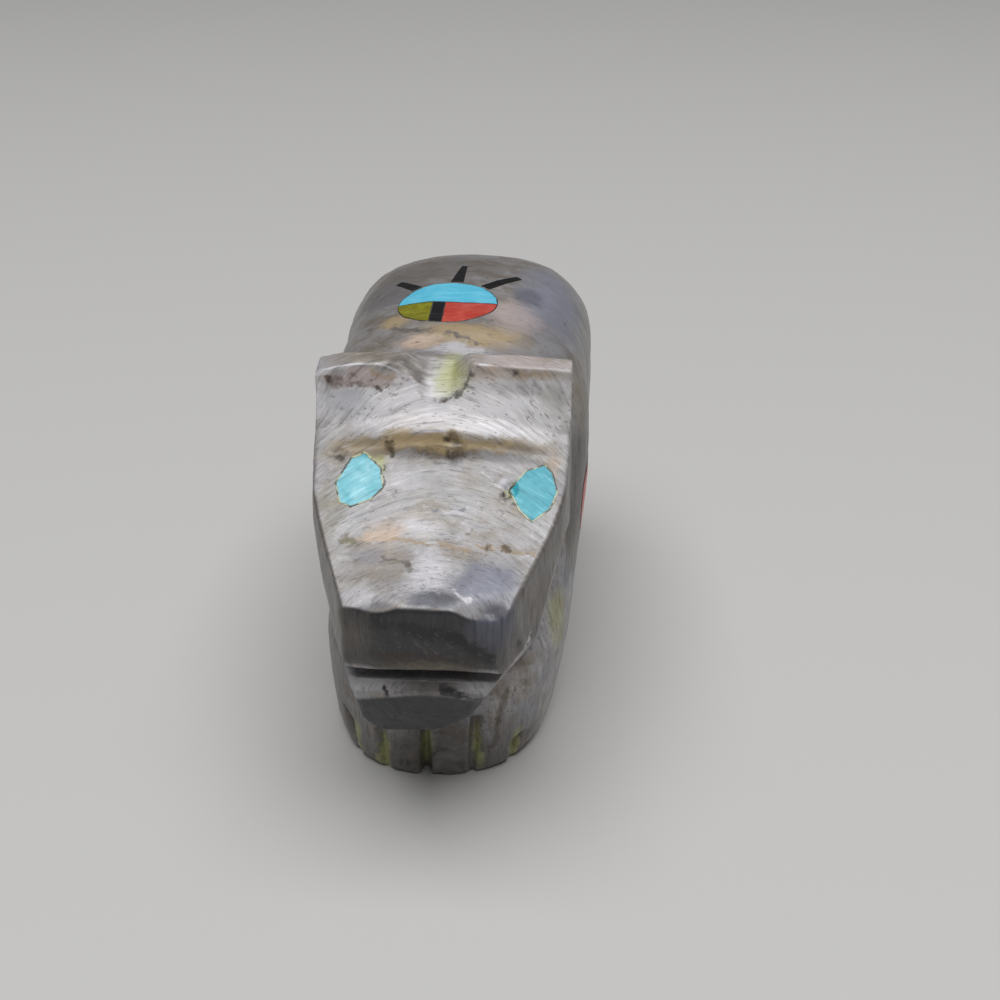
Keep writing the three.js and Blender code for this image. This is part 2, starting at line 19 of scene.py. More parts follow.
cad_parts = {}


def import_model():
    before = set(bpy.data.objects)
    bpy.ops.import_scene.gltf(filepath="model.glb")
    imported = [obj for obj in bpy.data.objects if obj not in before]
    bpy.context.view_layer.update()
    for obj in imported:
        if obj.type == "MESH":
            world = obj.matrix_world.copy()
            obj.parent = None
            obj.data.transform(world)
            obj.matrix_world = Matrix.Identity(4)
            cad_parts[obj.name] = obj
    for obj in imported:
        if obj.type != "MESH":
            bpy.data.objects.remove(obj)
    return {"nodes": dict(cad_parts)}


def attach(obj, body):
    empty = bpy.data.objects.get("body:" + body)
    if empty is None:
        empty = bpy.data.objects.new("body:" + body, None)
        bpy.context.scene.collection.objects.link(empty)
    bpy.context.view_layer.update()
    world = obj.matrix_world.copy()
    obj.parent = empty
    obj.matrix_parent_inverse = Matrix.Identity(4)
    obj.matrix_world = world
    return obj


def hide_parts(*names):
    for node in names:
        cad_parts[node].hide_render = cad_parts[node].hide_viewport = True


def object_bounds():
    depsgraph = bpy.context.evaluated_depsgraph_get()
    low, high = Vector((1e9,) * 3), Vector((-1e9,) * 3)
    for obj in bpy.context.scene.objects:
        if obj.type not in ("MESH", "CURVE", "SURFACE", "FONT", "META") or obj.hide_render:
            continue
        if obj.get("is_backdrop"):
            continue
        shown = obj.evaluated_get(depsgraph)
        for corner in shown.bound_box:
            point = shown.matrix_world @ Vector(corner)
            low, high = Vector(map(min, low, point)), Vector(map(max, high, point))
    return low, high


log = logging.getLogger("bear")

MM = 0.001

Triple = tuple[float, float, float]


def tone(red: int, green: int, blue: int) -> Triple:
    """Turn a colour as the eye reads it, 0 to 255, into the shader's linear scale.

    Args:
        red: Share of red.
        green: Share of green.
        blue: Share of blue.

    Returns:
        The linear colour.
    """

    def linear(value: float) -> float:
        """One channel, from 0 to 1, made linear."""
        return value / 12.92 if value <= 0.04045 else ((value + 0.055) / 1.055) ** 2.4

    return tuple(linear(channel / 255) for channel in (red, green, blue))


class Slot(Enum):
    """The material slots."""

    BODY = "body_stone"
    EYE = "eye_turquoise"
    SKY = "sun_sky_stone"
    SERPENTINE = "serpentine"
    CORAL = "coral"
    JET = "jet"


# Modelling helpers


def select_only(*pieces: bpy.types.Object) -> None:
    """Select these pieces alone and make the first one active.

    Args:
        pieces: The pieces, the active one first.
    """
    bpy.ops.object.select_all(action="DESELECT")
    for piece in pieces:
        piece.select_set(True)
    bpy.context.view_layer.objects.active = pieces[0]


def copy_of(node: bpy.types.Object, name: str) -> bpy.types.Object:
    """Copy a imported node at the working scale, its loose triangles merged into one skin.

    Args:
        node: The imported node.
        name: The copy's name.

    Returns:
        The copy, with a mesh of its own.
    """
    piece = bpy.data.objects.new(name, node.data.copy())
    bpy.context.scene.collection.objects.link(piece)
    piece.data.materials.clear()
    piece.data.transform(Matrix.Scale(1 / MM, 4))
    select_only(piece)
    bpy.ops.object.mode_set(mode="EDIT")
    bpy.ops.mesh.select_all(action="SELECT")
    bpy.ops.mesh.remove_doubles(threshold=0.001)
    bpy.ops.object.mode_set(mode="OBJECT")
    return piece


def apply_modifier(piece: bpy.types.Object, kind: str, **settings: object) -> None:
    """Add a modifier, set it and apply it.

    Args:
        piece: The piece it works on.
        kind: The modifier's type.
        settings: Its settings by name.
    """
    modifier = piece.modifiers.new(kind.lower(), kind)
    for name, value in settings.items():
        setattr(modifier, name, value)
    select_only(piece)
    bpy.ops.object.modifier_apply(modifier=modifier.name)


def smoothstep(low: float, high: float, value: float) -> float:
    """Ease a value from 0 at low to 1 at high."""
    share = min(1.0, max(0.0, (value - low) / (high - low)))
    return share * share * (3 - 2 * share)


def finish_piece(piece: bpy.types.Object, material: bpy.types.Material, node: str) -> None:
    """Bring a piece down to metres, dress it and hand it to the frame.

    Args:
        piece: The piece, at the working scale.
        material: Its finish.
        node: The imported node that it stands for.
    """
    piece.data.transform(Matrix.Scale(MM, 4))
    piece.data.materials.clear()
    piece.data.materials.append(material)
    select_only(piece)
    bpy.ops.object.shade_smooth()
    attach(piece, "root")
    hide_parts(node)
    log.info("%s: %d faces", piece.name, len(piece.data.polygons))


# Shader helpers


Feed = object


class Recipe:
    """Writes one node tree, each call adding a node that is fed by what came before."""

    def __init__(self, tree: bpy.types.NodeTree) -> None:
        """Start on a tree.

        Args:
            tree: The tree of a material or of a node group.
        """
        self.tree = tree

    def feed(self, socket: bpy.types.NodeSocket, value: Feed) -> None:
        """Link a socket to another one, or set its value.

        Args:
            socket: The input.
            value: An output socket, a number or a tuple.
        """
        if isinstance(value, bpy.types.NodeSocket):
            self.tree.links.new(value, socket)
        elif socket.type == "RGBA" and len(value) == 3:
            socket.default_value = (*value, 1.0)
        else:
            socket.default_value = value

    def node(self, kind: str, feeds: dict[str | int, Feed], **settings: object) -> bpy.types.Node:
        """Add a node.

        Args:
            kind: The node's type, without its Shader prefix.
            feeds: What goes into its sockets, by name or number.
            settings: The node's own settings.

        Returns:
            The node.
        """
        made = self.tree.nodes.new("ShaderNode" + kind)
        for name, value in settings.items():
            setattr(made, name, value)
        for name, value in feeds.items():
            self.feed(made.inputs[name], value)
        return made

    def math(self, operation: str, *values: Feed) -> bpy.types.NodeSocket:
        """Add a Math node and return its result."""
        return self.node("Math", dict(enumerate(values)), operation=operation).outputs[0]

    def vector(self, operation: str, *values: Feed) -> bpy.types.NodeSocket:
        """Add a Vector Math node and return its vector."""
        return self.node("VectorMath", dict(enumerate(values)), operation=operation).outputs["Vector"]

    def scaled(self, place: Feed, scale: float) -> bpy.types.NodeSocket:
        """Scale a vector by a number and return it."""
        return self.node("VectorMath", {0: place, "Scale": scale}, operation="SCALE").outputs["Vector"]

    def measure(self, operation: str, *values: Feed) -> bpy.types.NodeSocket:
        """Add a Vector Math node and return its number, such as a length."""
        return self.node("VectorMath", dict(enumerate(values)), operation=operation).outputs["Value"]

    def mix(self, share: Feed, base: Feed, over: Feed, blend: str = "MIX") -> bpy.types.NodeSocket:
        """Lay one colour over another.

        Args:
            share: How much of the upper colour shows.
            base: The lower colour.
            over: The upper colour.
            blend: How they blend.

        Returns:
            The mixed colour.
        """
        feeds = {0: share, 6: base, 7: over}
        return self.node("Mix", feeds, data_type="RGBA", blend_type=blend).outputs[2]

    def ease(
        self,
        value: Feed,
        low: Feed,
        high: Feed,
        to_low: Feed = 0.0,
        to_high: Feed = 1.0,
    ) -> bpy.types.NodeSocket:
        """Ease a value between two limits.

        Args:
            value: What is read.
            low: Where the easing starts.
            high: Where it ends.
            to_low: The result at low.
            to_high: The result at high.

        Returns:
            The eased value.
        """
        feeds = {"Value": value, "From Min": low, "From Max": high, "To Min": to_low, "To Max": to_high}
        return self.node("MapRange", feeds, interpolation_type="SMOOTHSTEP").outputs["Result"]

    def noise(self, place: Feed, scale: float, detail: float = 2.0, rough: float = 0.5) -> bpy.types.Node:
        """Add a noise texture.

        Args:
            place: Where it is read.
            scale: Its scale, in waves to the millimetre.
            detail: How many finer layers it has.
            rough: How strong they are.

        Returns:
            The node, for its Fac or its Color.
        """
        feeds = {"Vector": place, "Scale": scale, "Detail": detail, "Roughness": rough}
        return self.node("TexNoise", feeds)

    def group(self, group: bpy.types.NodeTree, feeds: dict[str, Feed]) -> bpy.types.Node:
        """Place a node group in the tree.

        Args:
            group: The group.
            feeds: What goes into its named inputs.

        Returns:
            The group's node.
        """
        made = self.tree.nodes.new("ShaderNodeGroup")
        made.node_tree = group
        for name, value in feeds.items():
            self.feed(made.inputs[name], value)
        return made


def new_group(
    name: str,
    inputs: dict[str, tuple[str, Feed]],
    outputs: dict[str, str],
) -> tuple[Recipe, bpy.types.NodeOutputs, bpy.types.Node]:
    """Start a node group with named sockets.

    Args:
        name: The group's name.
        inputs: For each input, its socket type and its value at the start.
        outputs: For each output, its socket type.

    Returns:
        The group's recipe, its inputs by name, and the node that its outputs feed.
    """
    tree = bpy.data.node_groups.new(name, "ShaderNodeTree")
    for label, (kind, value) in inputs.items():
        socket = tree.interface.new_socket(label, in_out="INPUT", socket_type="NodeSocket" + kind)
        if value is not None:
            socket.default_value = value
    for label, kind in outputs.items():
        tree.interface.new_socket(label, in_out="OUTPUT", socket_type="NodeSocket" + kind)
    entry = tree.nodes.new("NodeGroupInput")
    leave = tree.nodes.new("NodeGroupOutput")
    return Recipe(tree), entry.outputs, leave


class StoneGroups:
    """The effects that the finishes share, each built once as a node group."""

    def __init__(self) -> None:
        """Build every group."""
        self.place = self._place()
        self.patch = self._patch()
        self.vein = self._vein()
        self.slab = self._slab()
        self.grinding = self._grinding()
        self.flecks = self._flecks()

    def _place(self) -> bpy.types.NodeTree:
        """A place in millimetres, and the same place drifting a little, as veins do.

        Returns:
            The group.
        """
        recipe, entry, leave = new_group(
            "drifting place",
            {"Object": ("Vector", None), "Drift": ("Float", 1.0)},
            {"Place": "Vector", "Drifted": "Vector"},
        )
        place = recipe.scaled(entry["Object"], 1 / MM)
        centred = (0.5, 0.5, 0.5)
        broad = recipe.vector("SUBTRACT", recipe.noise(place, 0.35, 2.0).outputs["Color"], centred)
        narrow = recipe.vector("SUBTRACT", recipe.noise(place, 1.7, 3.0, 0.6).outputs["Color"], centred)
        drift = recipe.vector("ADD", recipe.scaled(broad, 2.0), recipe.scaled(narrow, 1.1))
        sized = recipe.node("VectorMath", {0: drift, "Scale": entry["Drift"]}, operation="SCALE")
        drifted = recipe.vector("ADD", place, sized.outputs["Vector"])
        recipe.feed(leave.inputs["Place"], place)
        recipe.feed(leave.inputs["Drifted"], drifted)
        return recipe.tree

    def _patch(self) -> bpy.types.NodeTree:
        """An oval cloud laid over the colour, which also serves for painted sheen and painted shade.

        Returns:
            The group.
        """
        recipe, entry, leave = new_group(
            "stone patch",
            {
                "Color": ("Color", None),
                "Place": ("Vector", None),
                "Centre": ("Vector", None),
                "Radii": ("Vector", (1.0, 1.0, 1.0)),
                "Tint": ("Color", None),
                "Strength": ("Float", 1.0),
                "Softness": ("Float", 0.4),
            },
            {"Color": "Color"},
        )
        offset = recipe.vector("SUBTRACT", entry["Place"], entry["Centre"])
        reach = recipe.measure("LENGTH", recipe.vector("DIVIDE", offset, entry["Radii"]))
        inner = recipe.math("SUBTRACT", 1.0, entry["Softness"])
        outer = recipe.math("ADD", 1.0, entry["Softness"])
        mask = recipe.ease(reach, inner, outer, entry["Strength"], 0.0)
        recipe.feed(leave.inputs["Color"], recipe.mix(mask, entry["Color"], entry["Tint"]))
        return recipe.tree

    def _vein(self) -> bpy.types.NodeTree:
        """A straight length of vein laid over the colour, which also serves for painted highlights and
        painted shade lines.

        Returns:
            The group.
        """
        recipe, entry, leave = new_group(
            "stone vein",
            {
                "Color": ("Color", None),
                "Place": ("Vector", None),
                "Start": ("Vector", None),
                "End": ("Vector", None),
                "Width": ("Float", 0.3),
                "Tint": ("Color", None),
                "Strength": ("Float", 1.0),
                "Softness": ("Float", 0.5),
            },
            {"Color": "Color"},
        )
        offset = recipe.vector("SUBTRACT", entry["Place"], entry["Start"])
        run = recipe.vector("SUBTRACT", entry["End"], entry["Start"])
        passed = recipe.measure("DOT_PRODUCT", offset, run)
        whole = recipe.measure("DOT_PRODUCT", run, run)
        held = recipe.node("Clamp", {"Value": recipe.math("DIVIDE", passed, whole)}).outputs[0]
        foot = recipe.node("VectorMath", {0: run, "Scale": held}, operation="SCALE").outputs["Vector"]
        reach = recipe.math("DIVIDE", recipe.measure("DISTANCE", offset, foot), entry["Width"])
        inner = recipe.math("SUBTRACT", 1.0, entry["Softness"])
        outer = recipe.math("ADD", 1.0, entry["Softness"])
        mask = recipe.ease(reach, inner, outer, entry["Strength"], 0.0)
        recipe.feed(leave.inputs["Color"], recipe.mix(mask, entry["Color"], entry["Tint"]))
        return recipe.tree

    def _slab(self) -> bpy.types.NodeTree:
        """The skin of one flat lap, laid over the colour as far as a reach, which also serves for painted
        shade on facets.

        Returns:
            The group.
        """
        recipe, entry, leave = new_group(
            "flat lap",
            {
                "Color": ("Color", None),
                "Place": ("Vector", None),
                "Centre": ("Vector", None),
                "Facing": ("Vector", None),
                "Depth": ("Float", 0.3),
                "Reach": ("Float", 5.0),
                "Tint": ("Color", None),
                "Strength": ("Float", 1.0),
            },
            {"Color": "Color"},
        )
        offset = recipe.vector("SUBTRACT", entry["Place"], entry["Centre"])
        height = recipe.measure("DOT_PRODUCT", offset, entry["Facing"])
        far = recipe.math("DIVIDE", recipe.measure("LENGTH", offset), entry["Reach"])
        below = recipe.math("DIVIDE", height, entry["Depth"])
        within = recipe.ease(far, 1.3, 0.7, 0.0, entry["Strength"])
        mask = recipe.math("MULTIPLY", recipe.ease(below, -1.0, -0.5), within)
        recipe.feed(leave.inputs["Color"], recipe.mix(mask, entry["Color"], entry["Tint"]))
        return recipe.tree

    def _grinding(self) -> bpy.types.NodeTree:
        """Fine lines left by grinding: arcs across the face and the back, upright on the flanks.

        Returns:
            The group.
        """
        recipe, entry, leave = new_group(
            "grinding lines",
            {
                "Place": ("Vector", None),
                "Centre Y": ("Float", -30.0),
                "Pitch": ("Float", 4.6),
                "Length": ("Float", 0.36),
            },
            {"Tone": "Float", "Dark": "Float", "Light": "Float", "Pepper": "Float"},
        )
        parts = recipe.node("SeparateXYZ", {0: entry["Place"]})
        x, y, z = parts.outputs
        ahead = recipe.math("SUBTRACT", y, entry["Centre Y"])
        flat = recipe.node("CombineXYZ", {0: x, 1: ahead}).outputs[0]
        radius = recipe.measure("LENGTH", flat)
        turn = recipe.math("MULTIPLY", recipe.math("ARCTAN2", x, ahead), 15.0)
        across = recipe.math("MULTIPLY", radius, entry["Pitch"])
        along = recipe.math("MULTIPLY", turn, entry["Length"])
        up = recipe.math("MULTIPLY", z, entry["Length"])
        swept = recipe.node("CombineXYZ", {0: across, 1: along, 2: up}).outputs[0]
        lines = recipe.noise(swept, 1.0, 3.0, 0.55).outputs["Fac"]
        finer = recipe.noise(recipe.scaled(swept, 2.3), 1.0, 2.0, 0.6).outputs["Fac"]
        both = recipe.math("ADD", recipe.math("MULTIPLY", lines, 0.6), recipe.math("MULTIPLY", finer, 0.4))
        recipe.feed(leave.inputs["Tone"], both)
        recipe.feed(leave.inputs["Dark"], recipe.ease(both, 0.48, 0.36))
        recipe.feed(leave.inputs["Light"], recipe.ease(both, 0.53, 0.66))
        shortened = recipe.vector("MULTIPLY", swept, (1.6, 5.5, 5.5))
        grains = recipe.noise(shortened, 1.0, 2.0, 0.6).outputs["Fac"]
        crowd = recipe.noise(entry["Place"], 0.45, 2.0).outputs["Fac"]
        least = recipe.ease(crowd, 0.35, 0.65, 0.70, 0.60)
        deep = recipe.math("SUBTRACT", grains, least)
        recipe.feed(leave.inputs["Pepper"], recipe.ease(deep, 0.0, 0.06))
        return recipe.tree

    def _flecks(self) -> bpy.types.NodeTree:
        """Scattered dark grains, drawn out a little sideways.

        Returns:
            The group.
        """
        recipe, entry, leave = new_group(
            "flecks",
            {
                "Place": ("Vector", None),
                "Scale": ("Float", 1.0),
                "Size": ("Float", 0.3),
                "Share": ("Float", 0.4),
            },
            {"Mask": "Float"},
        )
        drawn = recipe.vector("MULTIPLY", entry["Place"], (0.6, 1.0, 1.0))
        cells = recipe.node("TexVoronoi", {"Vector": drawn, "Scale": entry["Scale"]})
        parts = recipe.node("SeparateColor", {0: cells.outputs["Color"]})
        chosen = recipe.math("LESS_THAN", parts.outputs[0], entry["Share"])
        wide = recipe.math("MULTIPLY", entry["Size"], recipe.math("ADD", 0.4, parts.outputs[1]))
        spot = recipe.ease(cells.outputs["Distance"], wide, recipe.math("MULTIPLY", wide, 0.4))
        recipe.feed(leave.inputs["Mask"], recipe.math("MULTIPLY", spot, chosen))
        return recipe.tree


# The body stone's own markings, and the painted sheen, highlights and shade laid among them


class Tint(Enum):
    """The stone's own colours, without the shine on it, and one painted sheen; some dark ones also serve
    as painted shade.
    """

    # SHEEN is painted sheen: a white that stands in for the overhead light's shine on the forehead.
    SHEEN = tone(218, 216, 218)
    PALE = tone(166, 164, 165)
    WHITE = tone(196, 194, 199)
    WARM = tone(142, 133, 122)
    PINK = tone(176, 162, 159)
    PEACH = tone(188, 166, 148)
    TAN = tone(158, 137, 110)
    HONEY = tone(140, 124, 94)
    AMBER = tone(162, 142, 108)
    OLIVE = tone(112, 107, 78)
    LIME = tone(172, 174, 118)
    MIST = tone(128, 130, 144)
    SLATE = tone(92, 94, 106)
    ASH = tone(92, 87, 83)
    BROWN = tone(80, 66, 52)
    UMBER = tone(50, 40, 32)
    CHARCOAL = tone(34, 34, 38)
    INK = tone(16, 17, 22)


@dataclass(frozen=True)
class Patch:
    """An oval cloud of colour in the stone; some patches are painted sheen and some painted shade instead.
    """

    where: Triple
    radii: Triple
    tint: Tint
    strength: float = 0.8
    softness: float = 0.5
    still: bool = False


@dataclass(frozen=True)
class Vein:
    """A vein along a line of places; some are painted highlights along edges, and some painted shade along
    grooves and turning edges.
    """

    places: tuple[Triple, ...]
    width: float
    tint: Tint
    strength: float = 0.8
    softness: float = 0.5
    still: bool = False


@dataclass(frozen=True)
class Lap:
    """One flat lap whose skin takes another colour: on some laps a band of the stone it cuts through, on
    others painted shade on a facet turned from the light.
    """

    where: Triple
    facing: Triple
    reach: float
    tint: Tint
    strength: float = 0.7
    depth: float = 0.35
    still: bool = True


@dataclass(frozen=True)
class Chip:
    """A small chip out of the skin."""

    where: Triple
    radius: float
    depth: float


def speck(x: float, y: float, z: float, radius: float, tint: Tint = Tint.UMBER) -> Patch:
    """Return a small dark grain in the stone, a little wider than it is high."""
    return Patch((x, y, z), (radius * 1.3, radius, radius), tint, 0.85, 0.6)


FOREHEAD = (
    # Painted sheen: two broad bright bands across the forehead stand in for the overhead light's shine on
    # it.
    Patch((-0.5, -12.9, 31.6), (20.0, 1.6, 1.6), Tint.SHEEN, 0.85, 0.4),
    Patch((-0.5, -11.8, 33.0), (20.0, 1.5, 1.6), Tint.SHEEN, 0.8, 0.4),
    Patch((-6.5, -9.4, 35.1), (3.6, 1.6, 1.2), Tint.WARM, 0.6),
    Patch((-6.3, -11.1, 33.9), (3.6, 0.6, 0.75), Tint.PINK, 0.9, 0.3),
    Patch((-8.3, -11.7, 32.1), (1.7, 0.8, 0.9), Tint.MIST, 0.35, 0.7),
    Patch((-1.8, -13.2, 31.0), (3.0, 0.6, 0.6), Tint.PINK, 0.5, 0.7),
    Patch((6.3, -11.3, 33.1), (2.3, 0.7, 0.7), Tint.ASH, 0.3, 0.7),
    Patch((8.5, -11.5, 32.4), (0.9, 1.0, 1.2), Tint.OLIVE, 0.35, 0.7),
    Patch((3.4, -10.9, 34.4), (1.4, 0.6, 0.8), Tint.PEACH, 0.5, 0.7),
    Patch((6.0, -10.0, 35.2), (3.6, 1.2, 0.7), Tint.PINK, 0.6, 0.5),
    Patch((6.9, -10.9, 34.3), (2.1, 0.5, 0.45), Tint.TAN, 0.7, 0.7),
    Vein(((-9.2, -11.1, 33.7), (-6.5, -11.3, 33.25), (-4.0, -11.4, 33.3)), 0.22, Tint.BROWN, 0.5, 0.8),
    Vein(((-8.9, -11.0, 34.0), (-7.5, -11.0, 34.1)), 0.2, Tint.BROWN, 0.5, 0.8),
    Vein(((-5.8, -10.9, 34.4), (-4.2, -11.2, 34.0)), 0.3, Tint.TAN, 0.6, 0.8),
    Vein(
        ((-6.6, -9.7, 35.1), (-4.0, -10.0, 34.9), (-2.5, -10.8, 33.9), (-1.6, -11.5, 33.0)),
        0.6, Tint.ASH, 0.45,
    ),
    Patch((-0.4, -10.8, 33.1), (1.4, 1.7, 1.2), Tint.WHITE, 0.5),
    Patch((0.4, -9.9, 33.7), (1.2, 2.2, 1.2), Tint.LIME, 0.8, 0.7),
    Vein(
        ((2.3, -10.8, 34.9), (1.7, -10.95, 34.4), (0.85, -11.75, 32.9), (0.05, -12.0, 32.5)),
        0.22, Tint.ASH, 0.7,
    ),
    Vein(((-2.4, -11.05, 33.7), (-1.0, -11.9, 32.7), (0.05, -12.0, 32.5)), 0.18, Tint.ASH, 0.55),
    # Painted highlights: thin white lines along the ears' front edges, where the polished edges catch the
    # light.
    Vein(
        ((-9.8, -10.7, 34.25), (-8.6, -10.7, 34.6), (-7.1, -10.72, 34.85), (-5.9, -10.75, 34.95)),
        0.1, Tint.WHITE, 0.9, 0.4, True,
    ),
    Vein(
        (
            (-5.9, -10.75, 34.95), (-4.9, -10.85, 34.8), (-4.0, -10.96, 34.45),
            (-3.1, -11.2, 33.9), (-2.3, -11.5, 33.2),
        ),
        0.09, Tint.WHITE, 0.8, 0.4, True,
    ),
    Vein(
        ((2.6, -10.7, 35.05), (4.4, -10.72, 35.05), (6.6, -10.72, 35.0), (8.9, -10.72, 34.8)),
        0.1, Tint.WHITE, 0.9, 0.4, True,
    ),
    speck(-9.2, -11.0, 33.9, 0.24, Tint.BROWN),
    speck(-3.6, -11.3, 33.6, 0.24, Tint.BROWN),
    speck(-5.6, -11.4, 33.3, 0.25, Tint.BROWN),
    speck(5.2, -10.9, 34.4, 0.28),
)

BROW = (
    Patch((-0.6, -14.5, 29.2), (3.2, 0.6, 0.6), Tint.BROWN, 0.7),
    Patch((-6.9, -14.3, 28.9), (2.0, 0.7, 0.7), Tint.AMBER, 0.6),
    Patch((5.6, -14.2, 29.2), (1.9, 0.6, 0.6), Tint.ASH, 0.4),
    Patch((8.6, -14.9, 28.2), (0.9, 1.0, 1.0), Tint.TAN, 0.7),
    Patch((-0.6, -14.1, 29.8), (8.4, 0.6, 0.95), Tint.HONEY, 0.75, 0.6),
    Vein(((-4.4, -14.1, 29.6), (-0.6, -14.1, 30.0), (0.9, -14.1, 30.0)), 0.75, Tint.AMBER, 0.9, 0.6),
    Vein(((1.2, -14.1, 29.95), (4.4, -14.1, 29.5)), 0.55, Tint.AMBER, 0.7, 0.7),
    Patch((0.9, -14.2, 29.9), (0.5, 0.5, 0.8), Tint.UMBER, 0.7, 0.8),
    Patch((1.0, -14.9, 28.9), (0.6, 0.6, 0.5), Tint.UMBER, 0.6, 0.8),
    # Painted highlights: thin white lines along the brow ridge's edge.
    Vein(
        ((-8.1, -14.1, 29.15), (-5.9, -13.9, 30.0), (-3.5, -13.88, 30.5), (0.4, -13.86, 30.75)),
        0.09, Tint.WHITE, 0.95, 0.4, True,
    ),
    Vein(
        ((0.4, -13.86, 30.75), (4.3, -13.88, 30.4), (6.7, -13.9, 29.85), (8.3, -13.95, 29.25)),
        0.09, Tint.WHITE, 0.95, 0.4, True,
    ),
    Vein(((-4.7, -14.1, 29.6), (-4.2, -14.6, 28.7)), 0.3, Tint.UMBER, 0.7),
    speck(-8.4, -14.9, 28.35, 0.35),
    speck(0.2, -13.95, 30.2, 0.32),
    speck(4.0, -13.95, 29.85, 0.28),
    speck(0.7, -14.5, 29.2, 0.38),
)

FACE = (
    Patch((-2.5, -16.2, 27.3), (2.0, 0.9, 0.7), Tint.WHITE, 0.6),
    Patch((2.5, -16.6, 27.0), (2.4, 1.2, 0.8), Tint.PALE, 0.5),
    Patch((-1.5, -19.8, 25.3), (1.7, 0.9, 0.7), Tint.WHITE, 0.8),
    Patch((-3.7, -20.2, 25.1), (1.7, 0.6, 0.6), Tint.PEACH, 0.6),
    Patch((-5.2, -22.5, 24.3), (1.5, 0.8, 0.6), Tint.MIST, 0.6),
    Patch((-8.4, -18.2, 26.0), (1.1, 2.2, 1.4), Tint.OLIVE, 0.4, 0.7),
    Patch((-4.4, -24.2, 23.8), (2.6, 2.4, 1.1), Tint.WARM, 0.5, 0.8),
    Patch((3.9, -24.6, 23.7), (2.4, 2.5, 1.2), Tint.MIST, 0.95),
    Patch((2.9, -23.8, 23.9), (0.9, 1.4, 0.8), Tint.SLATE, 0.45, 0.8),
    Patch((-0.3, -23.6, 23.9), (1.4, 2.6, 0.9), Tint.WHITE, 0.9, 0.6),
    # Slate stone in part and painted shade in part, where the nose's top turns forward, away from the
    # overhead light.
    Patch((0.4, -26.3, 23.1), (2.0, 1.1, 0.9), Tint.SLATE, 0.95),
    Patch((1.0, -26.0, 23.2), (0.8, 0.5, 0.5), Tint.CHARCOAL, 0.6, 0.8),
    Vein(((1.9, -25.2, 23.5), (2.9, -25.9, 23.2), (3.1, -26.7, 23.0)), 0.22, Tint.WHITE, 0.85),
    Patch((-5.6, -26.2, 23.2), (1.3, 1.1, 0.8), Tint.WHITE, 0.5),
    Patch((-3.6, -26.6, 22.9), (1.6, 0.6, 0.6), Tint.SLATE, 0.5, 0.8),
    Vein(((-7.3, -20.8, 24.7), (-5.8, -20.7, 24.85)), 0.3, Tint.OLIVE, 0.8),
    Vein(((-5.8, -20.6, 24.9), (-3.4, -20.6, 24.95)), 0.4, Tint.PEACH, 0.9),
    Vein(
        (
            (-3.6, -20.8, 24.9), (-0.9, -21.1, 24.76), (2.2, -21.35, 24.65),
            (4.8, -21.5, 24.58), (7.6, -21.6, 24.5),
        ),
        0.22, Tint.TAN, 0.75,
    ),
    Vein(((2.2, -15.1, 28.5), (3.9, -15.8, 27.7), (5.0, -16.5, 27.2)), 0.1, Tint.WHITE, 0.9),
    Vein(((-4.2, -22.2, 24.4), (-2.2, -23.2, 24.1)), 0.16, Tint.ASH, 0.7),
    Vein(((-2.5, -22.6, 24.2), (-1.7, -23.9, 23.9)), 0.2, Tint.ASH, 0.6),
    speck(1.4, -18.0, 26.2, 0.3, Tint.SLATE),
    speck(-0.4, -18.3, 26.1, 0.22, Tint.SLATE),
    speck(4.4, -18.15, 26.0, 0.2, Tint.ASH),
    speck(2.1, -20.0, 25.2, 0.2, Tint.ASH),
    speck(-3.4, -17.2, 26.7, 0.2, Tint.ASH),
    speck(3.85, -21.5, 24.6, 0.24, Tint.BROWN),
    speck(5.5, -21.4, 24.6, 0.32, Tint.BROWN),
    Patch((5.5, -16.6, 27.0), (0.5, 0.5, 0.5), Tint.LIME, 0.9),
    Patch((5.1, -16.2, 27.4), (0.45, 0.4, 0.4), Tint.WHITE, 0.8),
    speck(5.1, -16.9, 26.9, 0.3, Tint.INK),
    speck(5.6, -17.5, 26.5, 0.22, Tint.INK),
    Patch((-5.6, -14.9, 28.5), (0.9, 0.5, 0.5), Tint.LIME, 0.85),
    Patch((-5.0, -15.5, 28.0), (0.5, 0.5, 0.5), Tint.LIME, 0.75),
    Vein(((-4.7, -15.3, 28.2), (-4.5, -16.4, 27.3)), 0.12, Tint.INK, 0.85),
)

